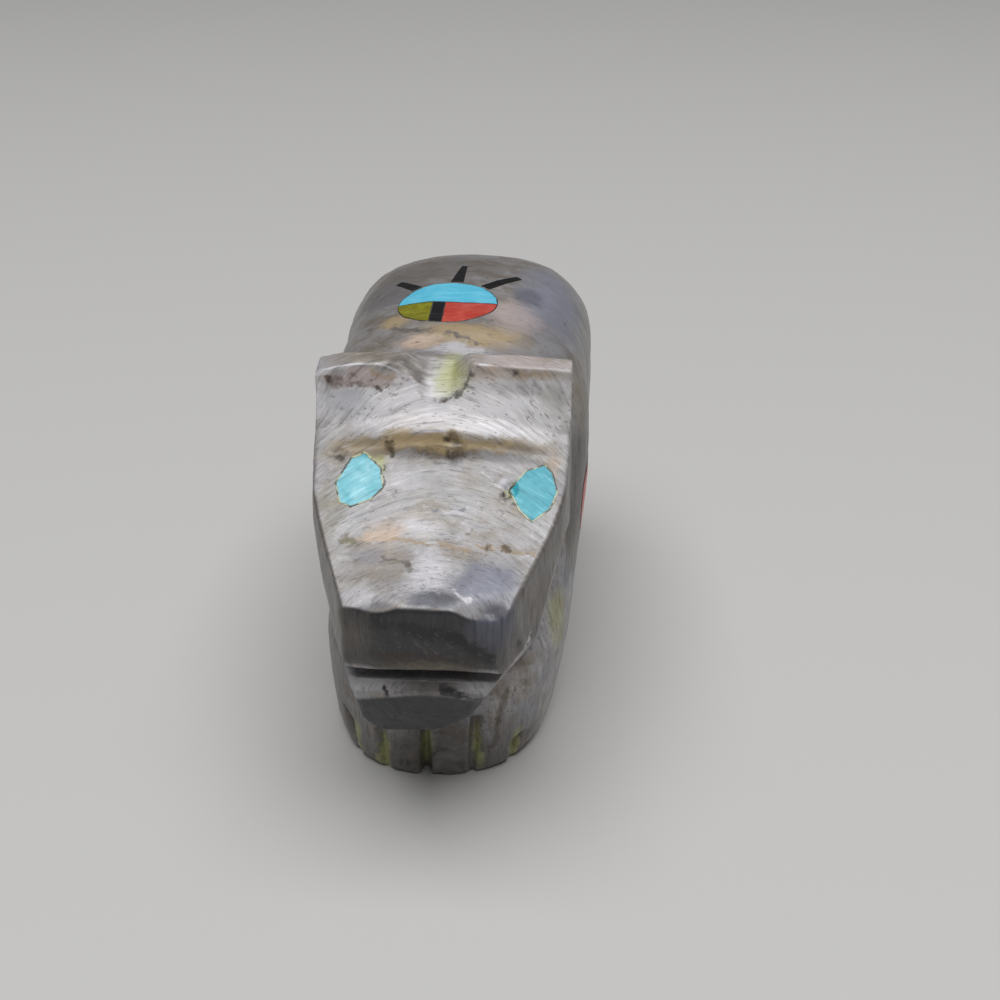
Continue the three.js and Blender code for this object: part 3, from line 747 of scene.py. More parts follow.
NOSE_AND_JAW = (
    Lap((-0.3, -26.1, 15.0), (0, -0.75, 0.66), 7.0, Tint.PALE, 0.85, 0.3),
    # Painted shade over somewhat darker stone: the nose's front face and the underside of the upper lip,
    # turned away from the overhead light, in charcoal and umber, and the lower jaw under the muzzle in
    # charcoal.
    Lap((-0.3, -27.01, 19.0), (0, -0.996, -0.09), 9.0, Tint.CHARCOAL, 0.95, 0.4),
    Lap((-0.3, -26.94, 18.2), (0, -0.928, -0.371), 4.2, Tint.UMBER, 0.8, 0.25),
    Patch((-0.3, -24.8, 10.0), (9.0, 3.2, 4.75), Tint.CHARCOAL, 0.98, 0.06, True),
    # Painted shade in the mouth's groove, in ink black.
    Patch((-0.5, -26.0, 16.35), (5.4, 2.4, 0.55), Tint.INK, 1.0, 0.3, True),
    # Painted shade: ash grey laid on the side facets of the nose, cheeks and head, which face away from
    # the overhead light.
    Lap((6.2, -26.77, 22.9), (0.752, -0.642, -0.15), 7.0, Tint.ASH, 0.85, 0.3),
    Lap((8.58, -19.87, 21.0), (0.94, -0.34, 0.01), 8.5, Tint.ASH, 0.85),
    Lap((-8.39, -22.17, 21.9), (-0.94, -0.34, 0.01), 8.5, Tint.ASH, 0.85),
    Lap((7.89, -21.26, 17.9), (0.97, -0.12, -0.21), 6.0, Tint.ASH, 0.75),
    Lap((10.1, -12.0, 22.0), (1.0, 0.0, 0.0), 7.0, Tint.ASH, 0.75, 0.6),
    Lap((-10.5, -12.0, 22.0), (-1.0, 0.0, 0.0), 7.0, Tint.ASH, 0.75, 0.6),
    # Painted shade, less deep, at the two ends of the nose's front face.
    Patch((-6.0, -27.0, 20.0), (1.5, 1.4, 2.6), Tint.ASH, 0.9, 0.7),
    Patch((5.0, -27.0, 21.4), (2.4, 1.4, 2.0), Tint.SLATE, 0.9, 0.6),
    Patch((-0.6, -26.9, 17.4), (4.2, 0.7, 0.6), Tint.OLIVE, 0.4),
    # Painted shade: an ink line along the top of the nose's front face, where it rolls away from the
    # light, and a thin one in a groove across the upper lip.
    Vein(
        (
            (-4.0, -27.2, 21.7), (-2.2, -27.2, 21.4), (0.2, -27.1, 20.9),
            (1.9, -27.1, 20.3), (4.4, -27.0, 18.6),
        ),
        0.5, Tint.INK, 0.8,
    ),
    Vein(((-1.0, -27.0, 18.3), (2.6, -27.0, 18.3)), 0.13, Tint.INK, 0.9),
    Vein(((-3.8, -26.3, 14.8), (-2.9, -25.6, 12.7), (-3.3, -24.2, 9.1)), 0.28, Tint.INK, 0.95),
    Vein(((-2.9, -25.6, 12.7), (-1.6, -25.6, 13.0)), 0.15, Tint.INK, 0.8),
    Vein(((0.9, -26.2, 14.8), (2.1, -26.25, 14.6), (4.0, -26.1, 14.0)), 0.35, Tint.INK, 0.85),
    # Painted highlight: a white streak along the lower lip's edge where it runs up the right cheek.
    Vein(((5.2, -26.0, 15.8), (6.4, -24.8, 17.1), (7.6, -23.4, 18.4)), 0.25, Tint.WHITE, 0.85),
    Vein(((-1.8, -27.2, 21.3), (0.1, -26.9, 18.3)), 0.12, Tint.ASH, 0.7),
    Vein(((-0.9, -27.2, 21.1), (1.1, -26.9, 18.3)), 0.1, Tint.ASH, 0.6),
    Vein(((-2.9, -27.1, 20.6), (-1.4, -26.9, 18.2)), 0.12, Tint.ASH, 0.5),
    Vein(((-4.5, -27.1, 20.1), (-3.4, -26.9, 18.6)), 0.1, Tint.ASH, 0.5),
    Vein(((0.1, -27.2, 21.3), (1.6, -27.0, 19.5)), 0.1, Tint.ASH, 0.5),
    speck(4.3, -27.0, 18.6, 0.3, Tint.INK),
    speck(6.6, -25.4, 18.8, 0.3, Tint.INK),
)

BACK = (
    Patch((-2.5, 9.5, 35.0), (6.0, 3.5, 3.0), Tint.ASH, 0.6, 0.7),
    Patch((1.6, -4.6, 35.0), (4.6, 1.5, 1.2), Tint.AMBER, 0.85),
    Patch((-5.2, -2.0, 34.8), (1.4, 1.1, 1.0), Tint.AMBER, 0.8),
    Patch((-2.8, -5.7, 34.5), (1.8, 0.8, 0.8), Tint.PEACH, 0.8),
    Patch((0.9, -6.7, 34.4), (2.2, 1.1, 0.8), Tint.WHITE, 0.8),
    Patch((4.9, -0.4, 35.0), (2.2, 3.0, 1.4), Tint.PINK, 0.9, 0.6),
    Patch((7.8, 5.5, 33.6), (2.8, 7.5, 3.4), Tint.MIST, 0.85, 0.6),
    Patch((5.8, 4.2, 34.6), (1.2, 1.6, 1.4), Tint.SLATE, 0.7, 0.6),
    Patch((-6.8, 6.0, 34.0), (3.0, 4.5, 2.4), Tint.ASH, 0.4, 0.7),
    Patch((11.0, -5.8, 30.0), (1.6, 2.0, 3.0), Tint.WARM, 0.6),
    Patch((11.3, -5.0, 21.0), (2.0, 7.0, 7.0), Tint.UMBER, 0.6, 0.5),
    Vein(
        ((-7.6, -1.6, 33.8), (-3.4, -4.3, 35.0), (0.0, -5.0, 34.9), (1.6, -5.2, 34.9)),
        0.28, Tint.ASH, 0.8,
    ),
)

FLANKS_AND_RUMP = (
    Patch((11.4, 12.0, 24.0), (2.5, 7.0, 5.0), Tint.PALE, 0.5, 0.8),
    Patch((11.2, 16.0, 12.0), (2.5, 6.0, 6.0), Tint.PINK, 0.4, 0.8),
    Patch((-11.4, 10.0, 25.0), (2.5, 8.0, 5.0), Tint.PALE, 0.5, 0.8),
    Patch((-11.4, -2.0, 16.0), (2.5, 5.0, 6.0), Tint.WARM, 0.5, 0.8),
    Patch((-11.2, 18.0, 12.0), (2.5, 5.0, 6.0), Tint.MIST, 0.5, 0.8),
    Patch((-11.5, -8.0, 24.0), (1.5, 2.5, 4.0), Tint.SLATE, 0.5, 0.8),
    Patch((0.0, 26.5, 20.0), (7.0, 3.0, 6.0), Tint.PALE, 0.5, 0.8),
    Patch((5.0, 25.0, 28.0), (4.0, 4.0, 4.0), Tint.MIST, 0.5, 0.8),
    Patch((0.0, 2.0, 9.0), (12.0, 8.0, 3.0), Tint.WARM, 0.4, 0.8),
    Vein(
        ((11.6, -3.0, 28.0), (11.8, 4.0, 24.5), (11.8, 11.0, 23.0), (11.4, 18.0, 19.5)),
        0.35, Tint.TAN, 0.75, 0.7,
    ),
    Vein(
        ((11.4, 18.0, 19.5), (9.0, 24.0, 17.0), (0.0, 27.3, 16.5), (-8.0, 25.0, 18.0)),
        0.3, Tint.TAN, 0.7, 0.7,
    ),
    Vein(((11.6, 3.0, 24.6), (11.8, 8.0, 19.0), (11.7, 12.0, 14.0)), 0.25, Tint.BROWN, 0.65, 0.7),
    Vein(
        ((-11.6, -4.0, 24.0), (-11.8, 4.0, 21.5), (-11.8, 12.0, 23.0), (-11.2, 19.0, 20.0)),
        0.35, Tint.TAN, 0.75, 0.7,
    ),
    Vein(((-11.2, 19.0, 20.0), (-8.0, 25.0, 18.0)), 0.3, Tint.TAN, 0.7, 0.7),
    Vein(((-11.6, 2.0, 22.0), (-11.8, 6.0, 29.0), (-10.4, 10.0, 33.0)), 0.25, Tint.HONEY, 0.65, 0.7),
    Vein(((-6.0, 26.5, 10.0), (-2.0, 27.0, 14.0), (0.0, 27.2, 16.5)), 0.2, Tint.BROWN, 0.65, 0.7),
    Patch((8.0, -22.0, 20.6), (1.2, 2.0, 1.6), Tint.BROWN, 0.6, 0.8),
    Patch((9.4, -16.5, 21.0), (1.2, 2.6, 2.2), Tint.WARM, 0.5, 0.8),
    Patch((-9.6, -17.0, 20.0), (1.2, 2.6, 2.2), Tint.WARM, 0.5, 0.8),
    Vein(((10.2, -11.0, 27.0), (9.9, -14.0, 22.0), (9.2, -17.5, 18.0)), 0.3, Tint.BROWN, 0.7, 0.8),
    Vein(((-10.4, -11.0, 26.0), (-10.2, -14.0, 20.0), (-9.6, -16.5, 15.0)), 0.3, Tint.UMBER, 0.6, 0.8),
)

LEGS = (
    Patch((-9.5, -14.0, 9.0), (3.0, 5.0, 10.0), Tint.ASH, 0.7, 0.6),
    Patch((0.0, -17.0, 1.5), (10.0, 3.5, 3.5), Tint.ASH, 0.75, 0.5),
    Patch((9.3, -12.4, 12.6), (0.9, 1.8, 2.6), Tint.LIME, 0.5, 0.7),
    Patch((-7.9, -16.8, 1.8), (0.6, 0.9, 2.0), Tint.LIME, 0.8),
    Patch((-5.2, -17.5, 1.6), (0.6, 1.0, 2.2), Tint.LIME, 0.8),
    Patch((-1.7, -17.0, 2.0), (0.7, 1.0, 2.6), Tint.LIME, 0.7),
    Patch((2.7, -17.6, 2.2), (0.5, 1.0, 2.4), Tint.LIME, 0.8),
    Patch((5.8, -16.2, 1.8), (0.6, 1.0, 2.2), Tint.LIME, 0.8),
    # A brown line down the valley between the chest and the bear's left foreleg: brown stone in part,
    # painted shade in the valley in part.
    Vein(((5.25, -17.5, 8.4), (4.35, -18.0, 5.5), (4.0, -18.0, 3.0)), 0.35, Tint.BROWN, 0.5),
)

MARKS_AND_PAINTED_LIGHT = (*BACK, *LEGS, *FOREHEAD, *BROW, *FACE, *NOSE_AND_JAW, *FLANKS_AND_RUMP)

CHIPS = (
    Chip((5.3, -16.6, 27.1), 0.55, 0.22),
    Chip((4.9, -17.3, 26.7), 0.4, 0.14),
    Chip((-8.4, -14.7, 28.7), 0.6, 0.18),
    Chip((-4.2, -14.5, 28.9), 0.45, 0.15),
    Chip((0.7, -13.9, 30.0), 0.5, 0.2),
    Chip((4.6, -26.9, 22.6), 0.5, 0.15),
    Chip((-3.6, -26.0, 14.6), 0.5, 0.25),
    Chip((2.7, -17.9, 5.8), 0.5, 0.15),
)


@dataclass(frozen=True)
class BodyStoneFinish:
    """Grey-white stone with tan, amber and slate clouds, ground and then polished, with painted sheen,
    highlights and shade laid into its colour.
    """

    name: str = "body stone"
    rough_low: float = 0.26
    rough_high: float = 0.46
    line_depth: float = 0.012
    small_fleck_share: float = 0.35
    large_fleck_share: float = 0.45
    pepper_share: float = 0.5
    head_line_share: float = 0.6
    trunk_line_share: float = 0.25
    dark_line: Triple = (0.42, 0.41, 0.42)
    light_line: Triple = (1.48, 1.48, 1.48)
    light_lift: Triple = (0.006, 0.006, 0.006)
    trunk_shade: Triple = (0.52, 0.51, 0.50)

    def build(self, groups: StoneGroups) -> bpy.types.Material:
        """Make the material.

        Args:
            groups: The shared effects.

        Returns:
            The material.
        """
        material = bpy.data.materials.new(self.name)
        material.use_nodes = True
        material.node_tree.nodes.clear()
        recipe = Recipe(material.node_tree)
        coordinates = recipe.node("TexCoord", {})
        places = recipe.group(groups.place, {"Object": coordinates.outputs["Object"]})
        place, drifted = places.outputs["Place"], places.outputs["Drifted"]
        color = self._clouds(recipe, drifted)
        for mark in MARKS_AND_PAINTED_LIGHT:
            color = self._laid(recipe, groups, color, place if mark.still else drifted, mark)
        lines = recipe.group(groups.grinding, {"Place": place})
        color = self._flecked(recipe, groups, color, place, lines.outputs["Pepper"])
        color = self._ground(recipe, color, place, lines)
        rough = recipe.ease(lines.outputs["Tone"], 0.3, 0.7, self.rough_high, self.rough_low)
        relief = {"Height": lines.outputs["Tone"], "Distance": self.line_depth * MM, "Strength": 1.0}
        bump = recipe.node("Bump", relief)
        feeds = {"Base Color": color, "Roughness": rough, "Normal": bump.outputs[0]}
        shader = recipe.node("BsdfPrincipled", feeds)
        recipe.node("OutputMaterial", {"Surface": shader.outputs[0]})
        return material

    def _flecked(
        self,
        recipe: Recipe,
        groups: StoneGroups,
        color: bpy.types.NodeSocket,
        place: bpy.types.NodeSocket,
        pepper: bpy.types.NodeSocket,
    ) -> bpy.types.NodeSocket:
        """Scatter the small dark grains over the colour.

        Args:
            recipe: The material's recipe.
            groups: The shared effects.
            color: The colour so far.
            place: The place in millimetres.
            pepper: Where the finest grains lie, drawn out along the grinding.

        Returns:
            The colour with the grains in it.
        """
        shift = recipe.scaled(recipe.noise(place, 2.5).outputs["Color"], 0.25)
        shifted = recipe.vector("ADD", place, shift)
        small = recipe.group(groups.flecks, {"Place": shifted, "Scale": 2.2, "Size": 0.3, "Share": 0.3})
        large = recipe.group(groups.flecks, {"Place": shifted, "Scale": 0.6, "Size": 0.16, "Share": 0.3})
        for mask, share, tint in (
            (small.outputs["Mask"], self.small_fleck_share, Tint.ASH),
            (large.outputs["Mask"], self.large_fleck_share, Tint.BROWN),
            (pepper, self.pepper_share, Tint.BROWN),
        ):
            color = recipe.mix(recipe.math("MULTIPLY", mask, share), color, tint.value)
        return color

    def _ground(
        self,
        recipe: Recipe,
        color: bpy.types.NodeSocket,
        place: bpy.types.NodeSocket,
        lines: bpy.types.Node,
    ) -> bpy.types.NodeSocket:
        """Draw the grinding lines over the colour, stronger on the head than on the trunk.

        Args:
            recipe: The material's recipe.
            color: The colour so far.
            place: The place in millimetres.
            lines: The grinding lines.

        Returns:
            The colour with the lines on it.
        """
        y = recipe.node("SeparateXYZ", {0: place}).outputs["Y"]
        share = recipe.ease(y, -9.0, -4.0, self.head_line_share, self.trunk_line_share)
        dark = recipe.math("MULTIPLY", lines.outputs["Dark"], share)
        color = recipe.mix(dark, color, self.dark_line, "MULTIPLY")
        light = recipe.math("MULTIPLY", lines.outputs["Light"], share)
        lighter = recipe.vector("MULTIPLY_ADD", color, self.light_line, self.light_lift)
        return recipe.mix(light, color, lighter)

    def _clouds(self, recipe: Recipe, drifted: bpy.types.NodeSocket) -> bpy.types.NodeSocket:
        """The stone's own clouding all over, before its markings.

        Args:
            recipe: The material's recipe.
            drifted: The drifting place.

        Returns:
            The colour.
        """
        drawn = recipe.vector("MULTIPLY", drifted, (0.6, 1.0, 0.8))
        mottled = recipe.noise(drawn, 0.6, 5.0, 0.6).outputs["Fac"]
        color = recipe.mix(recipe.ease(mottled, 0.32, 0.60), Tint.WARM.value, Tint.PALE.value)
        for shift, scale, low, high, share, tint in (
            ((11.0, 3.0, 7.0), 0.20, 0.48, 0.72, 0.6, Tint.MIST),
            ((5.0, 17.0, 2.0), 0.26, 0.55, 0.75, 0.4, Tint.PEACH),
            ((23.0, 9.0, 31.0), 0.9, 0.55, 0.72, 0.6, Tint.WHITE),
            ((41.0, 8.0, 3.0), 1.3, 0.60, 0.74, 0.5, Tint.ASH),
        ):
            moved = recipe.vector("ADD", drawn, shift)
            cloud = recipe.noise(moved, scale, 4.0, 0.6).outputs["Fac"]
            color = recipe.mix(recipe.ease(cloud, low, high, 0.0, share), color, tint.value)
        y = recipe.node("SeparateXYZ", {0: drifted}).outputs["Y"]
        behind = recipe.ease(y, -9.5, -5.5, 0.0, 0.8)
        return recipe.mix(behind, color, self.trunk_shade, "MULTIPLY")

    def _laid(
        self,
        recipe: Recipe,
        groups: StoneGroups,
        color: bpy.types.NodeSocket,
        place: bpy.types.NodeSocket,
        mark: Patch | Vein | Lap,
    ) -> bpy.types.NodeSocket:
        """Lay one marking over the colour.

        Args:
            recipe: The material's recipe.
            groups: The shared effects.
            color: The colour so far.
            place: The place, which drifts unless the marking is still.
            mark: The patch, the vein or the lap.

        Returns:
            The colour with the marking on it.
        """
        shared = {"Place": place, "Tint": mark.tint.value, "Strength": mark.strength}
        if isinstance(mark, Lap):
            feeds = {"Color": color, "Centre": mark.where, "Facing": mark.facing, **shared}
            feeds |= {"Depth": mark.depth, "Reach": mark.reach}
            return recipe.group(groups.slab, feeds).outputs[0]
        shared["Softness"] = mark.softness
        if isinstance(mark, Patch):
            feeds = {"Color": color, "Centre": mark.where, "Radii": mark.radii, **shared}
            return recipe.group(groups.patch, feeds).outputs[0]
        for start, end in zip(mark.places, mark.places[1:]):
            feeds = {"Color": color, "Start": start, "End": end, "Width": mark.width, **shared}
            color = recipe.group(groups.vein, feeds).outputs[0]
        return color


@dataclass(frozen=True)
class InlayFinish:
    """A polished inlay with clouds of a second colour, fine grinding lines and glue at its rim."""

    name: str
    base: Triple
    cloud: Triple
    cloud_scale: float = 0.7
    cloud_share: float = 0.6
    line_share: float = 0.3
    line_pitch: float = 3.6
    line_depth: float = 0.008
    dark_line: Triple = (0.55, 0.55, 0.55)
    light_line: Triple = (1.2, 1.2, 1.2)
    light_lift: Triple = (0.16, 0.16, 0.16)
    rough_low: float = 0.28
    rough_high: float = 0.40
    glue: Triple = tone(44, 40, 36)
    seam: Triple = tone(34, 32, 30)

    def build(self, groups: StoneGroups) -> bpy.types.Material:
        """Make the material.

        Args:
            groups: The shared effects.

        Returns:
            The material.
        """
        material = bpy.data.materials.new(self.name)
        material.use_nodes = True
        material.node_tree.nodes.clear()
        recipe = Recipe(material.node_tree)
        coordinates = recipe.node("TexCoord", {})
        places = recipe.group(groups.place, {"Object": coordinates.outputs["Object"]})
        place = places.outputs["Place"]
        cloud = recipe.noise(places.outputs["Drifted"], self.cloud_scale, 4.0, 0.6).outputs["Fac"]
        color = recipe.mix(recipe.ease(cloud, 0.42, 0.66, 0.0, self.cloud_share), self.base, self.cloud)
        lines = recipe.group(groups.grinding, {"Place": place, "Pitch": self.line_pitch})
        dark = recipe.math("MULTIPLY", lines.outputs["Dark"], self.line_share)
        color = recipe.mix(dark, color, self.dark_line, "MULTIPLY")
        light = recipe.math("MULTIPLY", lines.outputs["Light"], self.line_share)
        lighter = recipe.vector("MULTIPLY_ADD", color, self.light_line, self.light_lift)
        color = self._rimmed(recipe, recipe.mix(light, color, lighter), place)
        rough = recipe.ease(lines.outputs["Tone"], 0.3, 0.7, self.rough_high, self.rough_low)
        relief = {"Height": lines.outputs["Tone"], "Distance": self.line_depth * MM, "Strength": 1.0}
        bump = recipe.node("Bump", relief)
        feeds = {"Base Color": color, "Roughness": rough, "Normal": bump.outputs[0]}
        shader = recipe.node("BsdfPrincipled", feeds)
        recipe.node("OutputMaterial", {"Surface": shader.outputs[0]})
        return material

    def _rimmed(
        self,
        recipe: Recipe,
        color: bpy.types.NodeSocket,
        place: bpy.types.NodeSocket,
    ) -> bpy.types.NodeSocket:
        """Lay the dark seam and the glue over the colour, beyond the stone's own outline.

        Args:
            recipe: The material's recipe.
            color: The stone's colour.
            place: The place in millimetres.

        Returns:
            The colour with its uneven rim.
        """
        edge = recipe.node("Attribute", {}, attribute_name="edge").outputs["Fac"]
        ragged = recipe.noise(place, 1.6, 3.0, 0.6).outputs["Fac"]
        uneven = recipe.math("MULTIPLY_ADD", recipe.math("SUBTRACT", ragged, 0.5), 0.3, edge)
        color = recipe.mix(recipe.ease(uneven, -0.06, 0.02), color, self.seam)
        blotched = recipe.noise(place, 1.1, 2.0).outputs["Fac"]
        glue = recipe.mix(recipe.ease(blotched, 0.42, 0.56), self.seam, self.glue)
        return recipe.mix(recipe.ease(uneven, 0.02, 0.08), color, glue)


# The pieces


@dataclass
class BearBody:
    """The stone animal, carved as one."""

    nodes: dict[str, bpy.types.Object]
    box: tuple[Vector, Vector]
    voxel: float = 0.2
    closing: float = 0.17
    head_end: float = -6.0
    most_triangles: int = 190000
    inlay_room: float = 0.05
    sole_level: float = 0.12
    swell: float = 0.13
    ripple: float = 0.04
    all_smoothing: int = 2
    trunk_smoothing: int = 50
    toe_share: float = 0.6
    nose_share: float = 0.5
    toe_cuts: tuple[float, ...] = (-8.0, -5.2, -1.7, 2.3, 5.6)
    piece: bpy.types.Object = field(init=False)
    skin: BVHTree = field(init=False)

    def build(self) -> bpy.types.Object:
        """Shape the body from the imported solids.

        Returns:
            The body, at the working scale.
        """
        parts = [copy_of(self.nodes["bear_body"], "bear_stone")]
        for name in sorted(self.nodes):
            if name != "bear_body":
                parts.append(self._closer(name))
        select_only(*parts)
        bpy.ops.object.join()
        self.piece = parts[0]
        apply_modifier(self.piece, "REMESH", mode="VOXEL", voxel_size=self.voxel)
        self._round()
        self._undulate()
        share = self.most_triangles / (2 * len(self.piece.data.polygons))
        apply_modifier(self.piece, "DECIMATE", ratio=min(1.0, share))
        self._settle()
        self.skin = BVHTree.FromObject(self.piece, bpy.context.evaluated_depsgraph_get())
        return self.piece

    def _closer(self, name: str) -> bpy.types.Object:
        """An inlay's solid grown sideways and down, so that it closes its own pocket.

        Args:
            name: The inlay's node.

        Returns:
            The grown copy.
        """
        piece = copy_of(self.nodes[name], name + "_closer")
        axis = inlay_axis(self.nodes[name])
        pushes = [vertex.normal * self.closing for vertex in piece.data.vertices]
        for vertex, push in zip(piece.data.vertices, pushes):
            vertex.co += push - axis * max(0.0, push.dot(axis))
        return piece

    def _round(self) -> None:
        """Take the voxel steps off everywhere, and smooth the trunk, the toes and the nose's edges.

        The mouth, the toe cuts and the soles keep their edges.
        """
        group = self.piece.vertex_groups.new(name="rounded")
        for vertex in self.piece.data.vertices:
            x, y, z = vertex.co
            trunk = smoothstep(self.head_end - 3.0, self.head_end + 3.0, y)
            apart = min(abs(x - cut) for cut in self.toe_cuts)
            toes = smoothstep(9.0, 7.5, z) * smoothstep(-22.0, -20.0, y) * smoothstep(0.2, 0.8, apart)
            mouth = smoothstep(14.0, 14.6, z) * smoothstep(17.6, 17.0, z)
            nose = smoothstep(-24.6, -25.6, y) * (1 - mouth)
            most = max(trunk, toes * self.toe_share, nose * self.nose_share)
            group.add([vertex.index], most * smoothstep(0.15, 1.5, z), "REPLACE")
        apply_modifier(self.piece, "SMOOTH", factor=0.5, iterations=self.all_smoothing)
        rounding = {"factor": 0.5, "iterations": self.trunk_smoothing, "vertex_group": group.name}
        apply_modifier(self.piece, "SMOOTH", **rounding)

    def _undulate(self) -> None:
        """Leave the slight unevenness of hand grinding, and the chips."""
        places: list[float] = []
        for vertex in self.piece.data.vertices:
            place = vertex.co.copy()
            rise = noise.noise(place * 0.28) * self.swell + noise.noise(place * 0.8) * self.ripple
            for chip in CHIPS:
                near = (place - Vector(chip.where)).length / chip.radius
                if near < 1.4:
                    rise -= chip.depth * smoothstep(1.4, 0.5, near + 0.3 * noise.noise(place * 3.0))
            places.extend(place + vertex.normal * rise)
        self.piece.data.vertices.foreach_set("co", places)
        self.piece.data.update()

    def _settle(self) -> None:
        """Keep the body inside its box, with room for the inlays on top, and flat on its soles."""
        low, high = (corner / MM for corner in self.box)
        high.z -= self.inlay_room
        for vertex in self.piece.data.vertices:
            for axis in range(3):
                vertex.co[axis] = min(high[axis], max(low[axis], vertex.co[axis]))
            if vertex.co.z < self.sole_level:
                vertex.co.z = 0.0

    def dress(self, material: bpy.types.Material) -> None:
        """Finish the body and hand it to the frame."""
        finish_piece(self.piece, material, "bear_body")


def inlay_axis(node: bpy.types.Object) -> Vector:
    """Which way an inlay faces: an eye as its flat bottom lies, the flank's to the left, the rest up.

    Args:
        node: The inlay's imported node.

    Returns:
        The direction out of the stone.
    """
    if "flank" in node.name:
        return Vector((1, 0, 0))
    if "eye" in node.name:
        bottom = [face for face in node.data.polygons if face.normal.z < -0.5]
        return -sum((face.normal * face.area for face in bottom), Vector()).normalized()
    return Vector((0, 0, 1))


@dataclass
class Inlay:
    """One piece of inlaid stone, flush with the body."""

    node: bpy.types.Object
    slot: Slot
    finish: InlayFinish
    voxel: float = 0.09
    grown: float = 0.10
    ragged: float = 0.0
    proud: float = 0.035
    piece: bpy.types.Object = field(init=False)

    def build(self, skin: BVHTree) -> bpy.types.Object:
        """Shape the inlay and bring its face to the body's.

        Args:
            skin: The body's surface.

        Returns:
            The inlay, at the working scale.
        """
        axis = inlay_axis(self.node)
        self.piece = copy_of(self.node, self.node.name + "_stone")
        mesh = self.piece.data
        corners = [vertex.co.copy() for vertex in mesh.vertices]
        sides = [list(face.vertices) for face in mesh.polygons if abs(face.normal.dot(axis)) < 0.5]
        rim = BVHTree.FromPolygons(corners, sides)
        pushes = [vertex.normal * self.grown for vertex in mesh.vertices]
        for vertex, push in zip(mesh.vertices, pushes):
            vertex.co += push
        apply_modifier(self.piece, "REMESH", mode="VOXEL", voxel_size=self.voxel)
        apply_modifier(self.piece, "SMOOTH", factor=0.5, iterations=1)
        self._mark_edge(rim)
        self._face_flush(skin, axis)
        apply_modifier(self.piece, "SMOOTH", factor=0.5, iterations=1)
        return self.piece

    def _mark_edge(self, rim: BVHTree) -> None:
        """Note how far each place lies outside the stone's own outline, for the glue round it.

        Args:
            rim: The upright sides of the stone.
        """
        edge = self.piece.data.attributes.new("edge", "FLOAT", "POINT")
        reaches: list[float] = []
        for vertex in self.piece.data.vertices:
            near, normal, _, reach = rim.find_nearest(vertex.co)
            reaches.append(reach if (vertex.co - near).dot(normal) > 0 else -reach)
        edge.data.foreach_set("value", reaches)

    def _face_flush(self, skin: BVHTree, axis: Vector) -> None:
        """Lay the outer face just proud of the stone round it.

        Args:
            skin: The body's surface.
            axis: Which way the inlay faces.
        """
        places: list[float] = []
        for vertex in self.piece.data.vertices:
            place = vertex.co.copy()
            if vertex.normal.dot(axis) > 0.35:
                hit = skin.ray_cast(place + axis * 2.0, -axis, 4.0)[0]
                if hit is not None:
                    wave = self.ragged * noise.noise(place * 1.5)
                    place = hit + axis * (self.proud + wave)
            places.extend(place)
        self.piece.data.vertices.foreach_set("co", places)
        self.piece.data.update()

    def dress(self, groups: StoneGroups) -> None:
        """Finish the inlay and hand it to the frame."""
        finish_piece(self.piece, self.finish.build(groups), self.node.name)


def lay_out_inlays(nodes: dict[str, bpy.types.Object]) -> list[Inlay]:
    """Choose the finish and the fit of each inlay.

    Args:
        nodes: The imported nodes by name.

    Returns:
        The inlays, not yet built.
    """
    pale_glue = {"glue": tone(186, 190, 158), "seam": tone(70, 84, 76), "line_share": 0.6}
    teal = InlayFinish("turquoise", tone(28, 158, 178), tone(92, 190, 204), cloud_share=0.4, **pale_glue)
    pale_teal = InlayFinish("pale turquoise", tone(104, 190, 206), tone(152, 210, 222), **pale_glue)
    sky = InlayFinish("sky stone", tone(88, 186, 216), tone(124, 204, 226), cloud_share=0.4)
    jet = InlayFinish("jet", tone(14, 14, 16), tone(28, 28, 32), line_share=0.1)
    serpentine = InlayFinish("serpentine", tone(114, 112, 14), tone(146, 146, 36))
    coral = InlayFinish("coral", tone(180, 62, 50), tone(202, 94, 80))
    flank_coral = InlayFinish("flank coral", tone(196, 60, 44), tone(212, 92, 70))
    rays = [Inlay(nodes["sun_ray_" + side], Slot.JET, jet) for side in ("left", "middle", "right")]
    return [
        Inlay(nodes["eye_left"], Slot.EYE, teal, grown=0.22, ragged=0.04),
        Inlay(nodes["eye_right"], Slot.EYE, pale_teal, grown=0.22, ragged=0.04),
        Inlay(nodes["sun_turquoise"], Slot.SKY, sky),
        Inlay(nodes["sun_band"], Slot.JET, jet, proud=0.045),
        Inlay(nodes["sun_yellow"], Slot.SERPENTINE, serpentine),
        Inlay(nodes["sun_coral"], Slot.CORAL, coral),
        *rays,
        Inlay(nodes["flank_coral"], Slot.CORAL, flank_coral),
    ]


# The setting


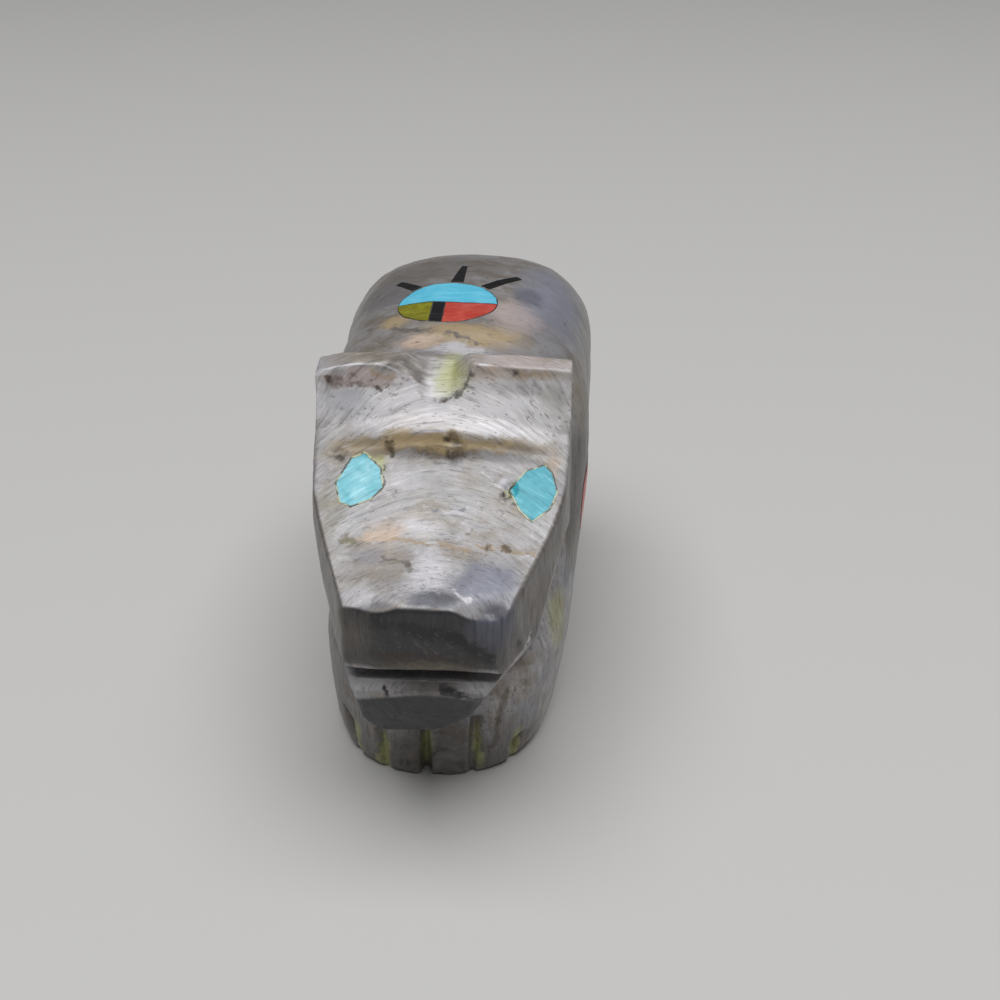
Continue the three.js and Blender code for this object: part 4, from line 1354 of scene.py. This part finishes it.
@dataclass(frozen=True)
class Studio:
    """A pale floor, soft light from above and the camera."""

    floor_size: float = 9000.0
    floor_tone: Triple = tone(192, 191, 189)
    sky_tone: Triple = (0.95, 0.97, 1.0)
    sky_strength: float = 0.10
    softbox_size: tuple[float, float] = (950.0, 850.0)
    softbox_place: Triple = (30.0, -180.0, 900.0)
    softbox_tilt: float = -11.0
    softbox_power: float = 10.5
    camera_place: Triple = (10.282, -110.827, 80.720)
    azimuth: float = 3.5
    elevation: float = 30.0
    lens: float = 50.4
    sensor: float = 36.0

    def build(self) -> None:
        """Set the scene."""
        self._floor()
        self._light()
        self._camera()

    def _floor(self) -> None:
        """A plain pale floor under the feet."""
        bpy.ops.mesh.primitive_plane_add(size=self.floor_size * MM, location=(0, 0, 0))
        floor = bpy.context.object
        floor.name = "floor"
        material = bpy.data.materials.new("pale floor")
        material.use_nodes = True
        shader = material.node_tree.nodes["Principled BSDF"]
        shader.inputs["Base Color"].default_value = (*self.floor_tone, 1.0)
        shader.inputs["Roughness"].default_value = 0.7
        floor.data.materials.append(material)
        floor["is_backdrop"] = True

    def _light(self) -> None:
        """One large soft light overhead and a pale world."""
        world = bpy.data.worlds.new("studio")
        world.use_nodes = True
        sky = world.node_tree.nodes["Background"]
        sky.inputs["Color"].default_value = (*self.sky_tone, 1.0)
        sky.inputs["Strength"].default_value = self.sky_strength
        bpy.context.scene.world = world
        lamp = bpy.data.lights.new("softbox", "AREA")
        lamp.shape = "RECTANGLE"
        lamp.size, lamp.size_y = (side * MM for side in self.softbox_size)
        lamp.energy = self.softbox_power
        softbox = bpy.data.objects.new("softbox", lamp)
        softbox.location = Vector(self.softbox_place) * MM
        softbox.rotation_euler = (math.radians(self.softbox_tilt), 0, 0)
        bpy.context.scene.collection.objects.link(softbox)

    def _camera(self) -> None:
        """The camera, looking down on the face."""
        camera = bpy.data.cameras.new("camera")
        camera.lens = self.lens
        camera.sensor_width = self.sensor
        camera.sensor_fit = "HORIZONTAL"
        camera.clip_start = 0.005
        camera.clip_end = 20.0
        holder = bpy.data.objects.new("camera", camera)
        holder.location = Vector(self.camera_place) * MM
        holder.rotation_euler = (math.radians(90 - self.elevation), 0, math.radians(self.azimuth))
        bpy.context.scene.collection.objects.link(holder)
        bpy.context.scene.camera = holder


def main() -> None:
    """Build the bear and its setting."""
    logging.basicConfig(level=logging.INFO, format="%(name)s: %(message)s")
    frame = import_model()
    packed_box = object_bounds()
    nodes = frame["nodes"]
    bpy.context.scene.view_settings.view_transform = "Standard"
    groups = StoneGroups()

    body = BearBody(nodes, packed_box)
    body.build()

    inlays = lay_out_inlays(nodes)
    for inlay in inlays:
        inlay.build(body.skin)
    body.dress(BodyStoneFinish().build(groups))
    for inlay in inlays:
        inlay.dress(groups)
    Studio().build()


if __name__ == "__main__":
    main()
